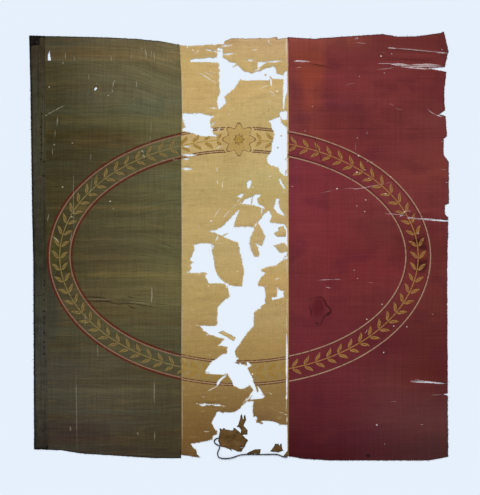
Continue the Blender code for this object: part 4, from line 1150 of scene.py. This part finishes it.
flySpec = {
    "heightColours": (
        (190, 200, {
            790: "#88443c", 740: "#843f35", 700: "#793633", 660: "#7d3a38", 600: "#753638",
            550: "#7a3834", 490: "#763637", 430: "#7c383d", 350: "#7c343a", 270: "#753039", 60: "#762f34",
            -35: "#6f2e32", -220: "#6d2d30", -380: "#66292e", -500: "#60262c", -600: "#572126",
            -670: "#542025", -750: "#46161b", -790: "#411318",
        }),
        (215, 255, {
            790: "#87423a", 740: "#823e31", 700: "#7e3a30", 660: "#873d31", 600: "#873e34",
            550: "#833c33", 490: "#773634", 430: "#7a3631", 350: "#7c3439", 270: "#783036", 60: "#793035",
            -35: "#722d31", -220: "#6b2b2e", -380: "#69292e", -500: "#60262c", -600: "#592127",
            -670: "#531f25", -750: "#49181e", -790: "#42151b",
        }),
        (316, 338, {
            790: "#814238", 740: "#783534", 700: "#703031", 660: "#7b3536", 600: "#783333",
            550: "#6f3134", 490: "#6f302e", 350: "#742e30", 270: "#722d34", 195: "#753033",
            -35: "#732c30", -220: "#6c2b2e", -380: "#65282d", -500: "#62282d", -600: "#5b232a",
            -670: "#562227", -750: "#4a1b22", -790: "#44171c",
        }),
        (400, 550, {
            790: "#6d302e", 740: "#6b302f", 700: "#733132", 600: "#753232", 490: "#743332",
            430: "#6e2f30", 350: "#6d2f30", 270: "#743331", 195: "#753535", 60: "#692f2e", -35: "#6e2b2e",
            -110: "#712c2f", -220: "#672d2d", -285: "#5e2728", -380: "#5b2327", -500: "#622c2c",
            -600: "#5e2e30", -670: "#5b2e30", -750: "#4d2428", -790: "#482124",
        }),
        (580, 740, {
            790: "#652c2a", 740: "#692e2c", 600: "#702f2f", 490: "#6f3533", 430: "#6c3030",
            350: "#743632", 270: "#753631", 195: "#703231", 60: "#6b2e2d", -35: "#632c28",
            -110: "#672d2b", -220: "#642d28", -285: "#5f2927", -380: "#5a2524", -500: "#572320",
            -600: "#592e2d", -670: "#5a3130", -750: "#4c2929", -790: "#462626",
        }),
    ),
    "clouds": (
        ("#4f1c29", 7.0, 9.0, 0.50, 0.68, 0.32), ("#8a453c", 5.0, 12.0, 0.56, 0.74, 0.07),
        ("#5a241c", 3.0, 22.0, 0.56, 0.70, 0.13),
    ),
    "stains": (
        (230, 580, 30, 50, "#5f2b33", 0.6), (235, 495, 30, 30, "#5f2b33", 0.5),
        (703, 6, 36, 34, "#3f171a", 0.95), (702, -73, 32, 30, "#3f171a", 0.9),
        (699, -30, 26, 22, "#7c3e26", 0.6), (720, 10, 14, 12, "#6e3324", 0.5),
        (312, -236, 30, 36, "#541a20", 0.75), (375, 740, 90, 45, "#5c2430", 0.15),
        (365, 565, 80, 55, "#5c2430", 0.14), (700, 540, 100, 40, "#5c2429", 0.35),
        (270, 690, 80, 60, "#8f4430", 0.22), (255, 590, 40, 80, "#8c402f", 0.22),
        (498, -807, 10, 9, "#2a1218", 0.9), (600, 500, 60, 50, "#5c2627", 0.4),
        (390, 620, 100, 60, "#6a2a30", 0.15), (420, -20, 50, 40, "#5f2429", 0.1),
        (665, 0, 75, 85, "#521f1f", 0.4),
    ),
    "weave": (
        (1.2, 120.0, 3.0, 0.30), (10.0, 250.0, 2.0, 0.34), (160.0, 3.0, 2.0, 0.30), (6.0, 20.0, 3.0, 0.20),
        (170.0, 210.0, 1.0, 0.34),
    ),
    "sway": 25,
    "pulls": (),
    "lines": ("#a5876f", "#4a1b1c", "#6a2c2e"), "gilt": "#9c7440", "vein": "#5a2a20", "kept": 0.9,
    "thread": "#f2e4e0", "torn": "#d9bfc4", "tornShare": 0.45,
    "rim": "#1f0c0f", "rimShare": 0.75, "rimReach": 4.5,
}


def strokesOf(rows, title, extra=0.0):
    return [strokeOutline(line, width + extra, f"{title} {i}") for i, (width, *line) in enumerate(rows)]


def makePanels():
    slits, strips = strokesOf(centreSlits, "slit"), strokesOf(centreStrips, "strip")
    bridge = strokeOutline(flyBridge, 0.0048, "fly bridge")
    made = {}
    for name, node, wear, lift, marks, spots, spec, slot, cuts, tongues, isFree in (
        ("hoist_silk", "hoist_panel", wearOf(0.0010, 0.0006), hoistLift, hoistMarks, hoistSpots,
         hoistSpec, "olive_silk", (), (), isTorn),
        ("centre_silk", "centre_panel", wearOf(0.0024, 0.0014), centreLift, centreMarks, centreSpots,
         centreSpec, "buff_silk", (*centreCuts, *slits), (*centreTongues, *strips), isTornCentre),
        ("fly_silk", "fly_panel", wearOf(0.0012, 0.0008), flyLift, flyMarks, flySpots, flySpec,
         "crimson_silk", (), (bridge,), isTorn),
    ):
        material = silkMaterial(f"taffeta {slot}", spec)
        lines = [ragged(line, wear, f"{name} {i}") for i, line in enumerate(outlinesOf(node))]
        tones = marksOf(marks, spots, name)
        if cuts:  # pale threads line each slit
            tones = [(outline, 0.85) for outline in strokesOf(centreSlits, "slit", 0.0030)] + tones
        cloth, area, torn = makeCloth(name, material, lines, lift, cuts, tongues, tones, isFree)
        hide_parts(node)
        made[name] = (cloth, area, torn)
    return made


def makeFraying(panels):
    # Broken threads at the torn edges, and bared ones along the pale marks
    made = {}
    for panel, slot, dark, light, spacing, reach in (
        ("centre_silk", "buff_silk", "#cdb88c", "#fbf6ea", 0.0034, 0.0019),
        ("hoist_silk", "olive_silk", "#3a3524", "#7d7558", 0.010, 0.0018),
        ("fly_silk", "crimson_silk", "#6a2a2c", "#b88a88", 0.008, 0.0018),
    ):
        material = yarnMaterial(f"frayed {slot} yarn", dark, light, 0.7)
        strands = frayedThreads(panels[panel][2], spacing, reach, 0.022, panel)
        fray = makeStrands(panel.replace("silk", "fray"), strands, material)
        made[panel] = [fray]
    for panel, slot, marks, lift, dark, light in (
        ("centre_silk", "buff_silk", centreMarks, centreLift, "#eadfc6", "#fdf8ec"),
        ("hoist_silk", "olive_silk", hoistMarks, hoistLift, "#8f8970", "#ccc5ae"),
        ("fly_silk", "crimson_silk", flyMarks, flyLift, "#d8bcc4", "#fbeef5"),
    ):
        material = yarnMaterial(f"bared {slot} yarn", dark, light, 0.7)
        strands = ladderThreads(marks, lift, panel)
        ladder = makeStrands(panel.replace("silk", "ladders"), strands, material)
        made[panel].append(ladder)
    return made


def makeSewing():
    # Waxed or tarred linen thread is darker and stiffer than the silk, in short close stitches.
    inset = 0.0045  # from the edge of the panel above to its stitches
    sleeveX, tackBase, tackRadius, tackRise = -0.7485, 0.0031, 0.0007, 0.0009
    olive = yarnMaterial("waxed linen thread, olive", "#2f2b1d", "#6f6544", 0.8, 80.0)
    red = yarnMaterial("waxed linen thread, red", "#4a1d1f", "#8a4a44", 0.8, 80.0)
    black = yarnMaterial("tarred linen thread", "#0e0d0b", "#24211b", 0.8, 80.0)
    left = seamStitches(hoistSeamX - inset, 0.770, -0.800, 0.0062, 0.0034, hoistLift, "hoist seam")
    right = seamStitches(flySeamX + inset, 0.790, -0.800, 0.0062, 0.0034, flyLift, "fly seam")
    hoist = makeStrands("hoist_seam_stitches", left, olive)
    fly = makeStrands("fly_seam_stitches", right, red)
    rng = random.Random(8)
    tacks = seamStitches(sleeveX, 0.760, -0.760, 0.0075, 0.0040, bandLift, "sleeve seam")
    for x, y in sleeveTacks:  # each is a few stitches over one another
        for _ in range(4):
            half, lean = rng.uniform(0.0020, 0.0032), rng.uniform(-0.0014, 0.0014)
            low, high = y + rng.uniform(-0.0016, 0.0016), tackBase + rng.uniform(0.0, 0.0004)
            tacks.append([
                (x - half, low - lean, high, tackRadius), (x, low, high + tackRise, 0.0009),
                (x + half, low + lean, high, tackRadius),
            ])
    band = makeStrands("sleeve_stitches", tacks, black)
    return hoist, fly, band


def makeBand():
    # Dark cotton, sewn to take a pole: greyed along its middle, and almost black at its edges.
    spec = {
        "heightColours": (
            (-800, -790, {
                740: "#362e20", 660: "#393528", 550: "#3d3c2f", 430: "#423f31", 270: "#3e3c31",
                130: "#37342a", -35: "#2d2f27", -110: "#32332d", -170: "#383831", -220: "#42433a",
                -290: "#393a34", -500: "#403f39", -600: "#423d35", -690: "#312d28", -750: "#27211c",
                -790: "#1f1a18",
            }),
            (-775, -760, {
                740: "#393020", 660: "#3c3625", 550: "#3f3c29", 430: "#443f2a", 270: "#3f3c2a",
                130: "#373323", -35: "#2f2f1e", -110: "#333226", -170: "#383628", -220: "#413f30",
                -290: "#3a3a32", -500: "#413e36", -600: "#423c32", -690: "#302b25", -750: "#27201b",
                -790: "#1f1a17",
            }),
        ),
        "mottle": 30.0, "dark": "#241f14", "light": "#4f4a3c",
        "weave": ((20.0, 60.0, 3.0, 0.7), (230.0, 8.0, 2.0, 0.9), (180.0, 220.0, 1.0, 0.8)),
        "thread": "#777667", "torn": "#0e0c0a", "tornShare": 0.0,
        "rim": "#0e0c0a", "rimShare": 0.9, "rimReach": 12, "roughness": 0.85,
    }
    material = plainClothMaterial("sewn sleeve of dark cotton", spec)
    lines = [ragged(outlinesOf("hoist_band")[0], wearOf(0.0007, 0.0007), "band")]
    band, area, _ = makeCloth(
        "hoist_sleeve", material, lines, bandLift, marks=marksOf(bandMarks, (), "band"),
        isHem=isSleeveEdge, curl=0.0004
    )
    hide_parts("hoist_band")
    return band, area


def makePatch():
    # Canvas stiff with tar: black, with coarse threads and one cracked fold that shows pale.
    spec = {
        "mottle": 70.0, "dark": "#060404", "light": "#241e1b",
        "weave": ((60.0, 180.0, 2.0, 0.9), (300.0, 300.0, 2.0, 0.5)),
        "thread": "#3a342c", "torn": "#0a0807", "tornShare": 0.8,
        "rim": "#080707", "rimShare": 0.8, "rimReach": 6, "roughness": 0.8,
    }
    material = plainClothMaterial("tarred canvas corner", spec)
    lines = [ragged(outlinesOf("corner_patch")[0], wearOf(0.0010, 0.0010), "patch")]
    # The dark lines are painted shade in the folds, and the pale one is the crack.
    folds = toned((
        (-0.8, 8, (-803, 769), (-784, 770), (-765, 772)),
        (-0.6, 6, (-800, 801), (-784, 799), (-768, 797)), (-0.7, 9, (-789, 793), (-785, 783)),
        (-0.5, 7, (-767, 787), (-766, 777)), (0.7, 11, (-778, 789), (-774, 779)),
    ))
    patch, area, _ = makeCloth(
        "canvas_patch", material, lines, patchLift, marks=marksOf(folds, (), "patch"),
        spacing=(0.003, 0.003), curl=0.0004
    )
    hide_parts("corner_patch")
    return patch, area


# A scrap's notches, the tips and threads that stand off it, and its marks
scrapTatters = {
    "scrap_foot": {
        "notches": metres((
            ((-70, -700), (-67.4, -706.2), (-63, -705.8), (-60.5, -700)),
            ((-56, -700), (-52.5, -706.6), (-40, -708), (-31, -710.5), (-21.5, -709.2), (-21.2, -700)),
            ((22, -777.8), (5, -775.2), (4.6, -776.2), (20, -779.8)),
        )),
        "tips": metres((
            ((-74.8, -708), (-73.8, -700.4), (-70, -705)),
            ((-62.5, -707), (-59.2, -700.6), (-55.5, -706.5)),
            ((-22.5, -710.5), (-20.6, -699.6), (-14, -702.6), (4, -717.5), (-6, -718)),
            ((-42, -779), (-26.2, -790.8), (-25, -789.8), (-33, -781.2)),
            ((-2, -688), (-8.8, -695.5), (-1, -697.5)),
            ((4, -669), (10.6, -645), (14.6, -664), (14, -680), (6, -685)),
            ((15.6, -680), (18.4, -664), (23.6, -648), (27.8, -669), (20, -685)),
        )),
        "marks": toned((
            (0.16, 1.8, (-50, -764), (-30, -765.5), (-12, -766)),
            (0.2, 1.8, (-46, -770), (-26, -772.5), (-4, -776.5)),
            (-0.45, 6, (20, -727), (29, -742), (25, -760), (16, -772)), (-0.5, 5, (9, -780), (5, -790)),
            (-0.3, 3, (-62, -709), (-40, -711), (-20, -713)),
        )),
    },
    "scrap_corner": {
        "notches": metres((
            ((152.2, -758), (153, -765), (155.2, -769), (158.4, -766.8), (159.2, -758)),
            ((144, -758), (144.6, -762.4), (149, -762.4), (149.6, -758)),
        )),
        "tips": metres((
            ((139, -768), (137.6, -760.2), (142.5, -764)), ((159, -767), (164, -760.2), (165, -770)),
            ((166, -782), (172.2, -789.5), (164, -789)), ((129, -782), (119.6, -790.8), (131, -792.2)),
        )),
    },
    "scrap_hem": {
        "notches": metres((((70, -781), (73, -783.8), (77, -781)),)),
        "tips": metres((((80, -785), (86.2, -782.6), (81.5, -788)),)),
    },
}


def makeScraps():
    # Silk like the middle panel's. Two pieces are clean, and the rest is stained brown to its dark rims.
    spec = {
        "mottle": 40.0, "dark": "#4a3517", "light": "#6a5030",
        "weave": ((40.0, 200.0, 3.0, 0.5), (170.0, 210.0, 1.0, 0.4)),
        "thread": "#8a7350", "torn": "#150f08", "tornShare": 0.8,
        "rim": "#332a0c", "rimShare": 0.6, "rimReach": 5, "roughness": 0.75,
    }
    soiled = plainClothMaterial("soiled silk scrap", spec)
    clean = plainClothMaterial("clean silk scrap", {
        **spec, "dark": "#ad945f", "light": "#c8b07c", "torn": "#6a5030", "tornShare": 0.4, "rimShare": 0.0,
    })
    made = []
    wear = wearOf(0.0014, 0.0014)
    for node in ("scrap_foot", "scrap_hem", "scrap_corner", "scrap_middle", "scrap_seam"):
        lines = [ragged(line, wear, f"{node} {i}") for i, line in enumerate(outlinesOf(node))]
        material = clean if node in ("scrap_seam", "scrap_middle") else soiled
        tatters = scrapTatters.get(node, {})
        notches, tips, marks = (tatters.get(kind, ()) for kind in ("notches", "tips", "marks"))
        scrap, area, _ = makeCloth(
            f"{node}_silk", material, lines, scrapLift, notches, tips, marksOf(marks, (), node),
            isHem=isTorn, spacing=(0.004, 0.004),
        )
        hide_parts(node)
        made.append((scrap, area, np.ptp(np.array(lines[0]), axis=0)))
    return made


# Rolled hem

def makeCurve(name, points, radius, material, resolution):
    curve = bpy.data.curves.new(name, "CURVE")
    curve.dimensions = "3D"
    curve.bevel_depth = radius
    curve.bevel_resolution = resolution
    curve.use_fill_caps = True
    spline = curve.splines.new("POLY")
    spline.points.add(len(points) - 1)
    for point, (*place, share) in zip(spline.points, points):
        point.co = (*place, 1.0)
        point.radius = share
    curve.materials.append(material)
    return addPiece(name, curve)


def makeHem():
    # Silk rolled tight and soiled almost black, under a sewing thread that winds round it.
    turnLength, coilStep, threadRadius = 0.006, 0.0008, 0.0004  # of that thread
    material = yarnMaterial("rolled silk hem", "#0e0a08", "#2c211a", 0.85, 90.0, (400.0, 400.0, 2.0, 0.6))
    route, length = smoothRoute(hemRoute, 0.004)
    rng = random.Random(5)
    points = [(x, y, hemRadius, rng.uniform(0.8, 1.1)) for x, y in route]
    hem = makeCurve("rolled_hem", points, hemRadius, material, 3)
    turns = []
    coil, _ = smoothRoute(hemRoute, coilStep)
    for i, (a, b) in enumerate(zip(coil, coil[1:])):
        run = (b - a).normalized()
        angle = 2 * math.pi * i * coilStep / turnLength
        side = hemRadius * math.cos(angle)
        rise = max(0.0005, hemRadius * (1 + math.sin(angle)))
        turns.append((a.x - run.y * side, a.y + run.x * side, rise, 1.0))
    thread = makeCurve("hem_thread", turns, threadRadius, material, 1)
    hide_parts("hem_cord")
    return hem


# Surroundings

def makeStage():
    bpy.ops.mesh.primitive_plane_add(size=12.0, location=(0.0, 0.0, -0.0003))
    floor = bpy.context.object
    floor.name = "floor"
    material, _, shader, _ = newMaterial("pale matt board")
    shader.inputs["Base Color"].default_value = ink("#e5effb")
    shader.inputs["Roughness"].default_value = 1.0
    shader.inputs["Specular IOR Level"].default_value = 0.0
    floor.data.materials.append(material)
    world = bpy.data.worlds.new("studio")
    bpy.context.scene.world = world
    world.use_nodes = True
    world.node_tree.nodes["Background"].inputs["Color"].default_value = (1.0, 1.0, 1.0, 1.0)
    world.node_tree.nodes["Background"].inputs["Strength"].default_value = 0.55
    data = bpy.data.lights.new("soft light", "SUN")
    data.energy = 2.4
    data.angle = math.radians(25)
    light = bpy.data.objects.new("soft light", data)
    light.rotation_euler = (math.radians(-52), math.radians(-12), 0.0)
    bpy.context.scene.collection.objects.link(light)


makeCamera()
hem = makeHem()
print("camera and hem")
panels = makePanels()
print("panels")
fraying = makeFraying(panels)
band, bandArea = makeBand()
patch, patchArea = makePatch()
scraps = makeScraps()
print("band, patch and scraps")
hoistStitches, flyStitches, bandStitches = makeSewing()
print("sewing")
makeStage()
bpy.context.scene.view_settings.view_transform = "Standard"
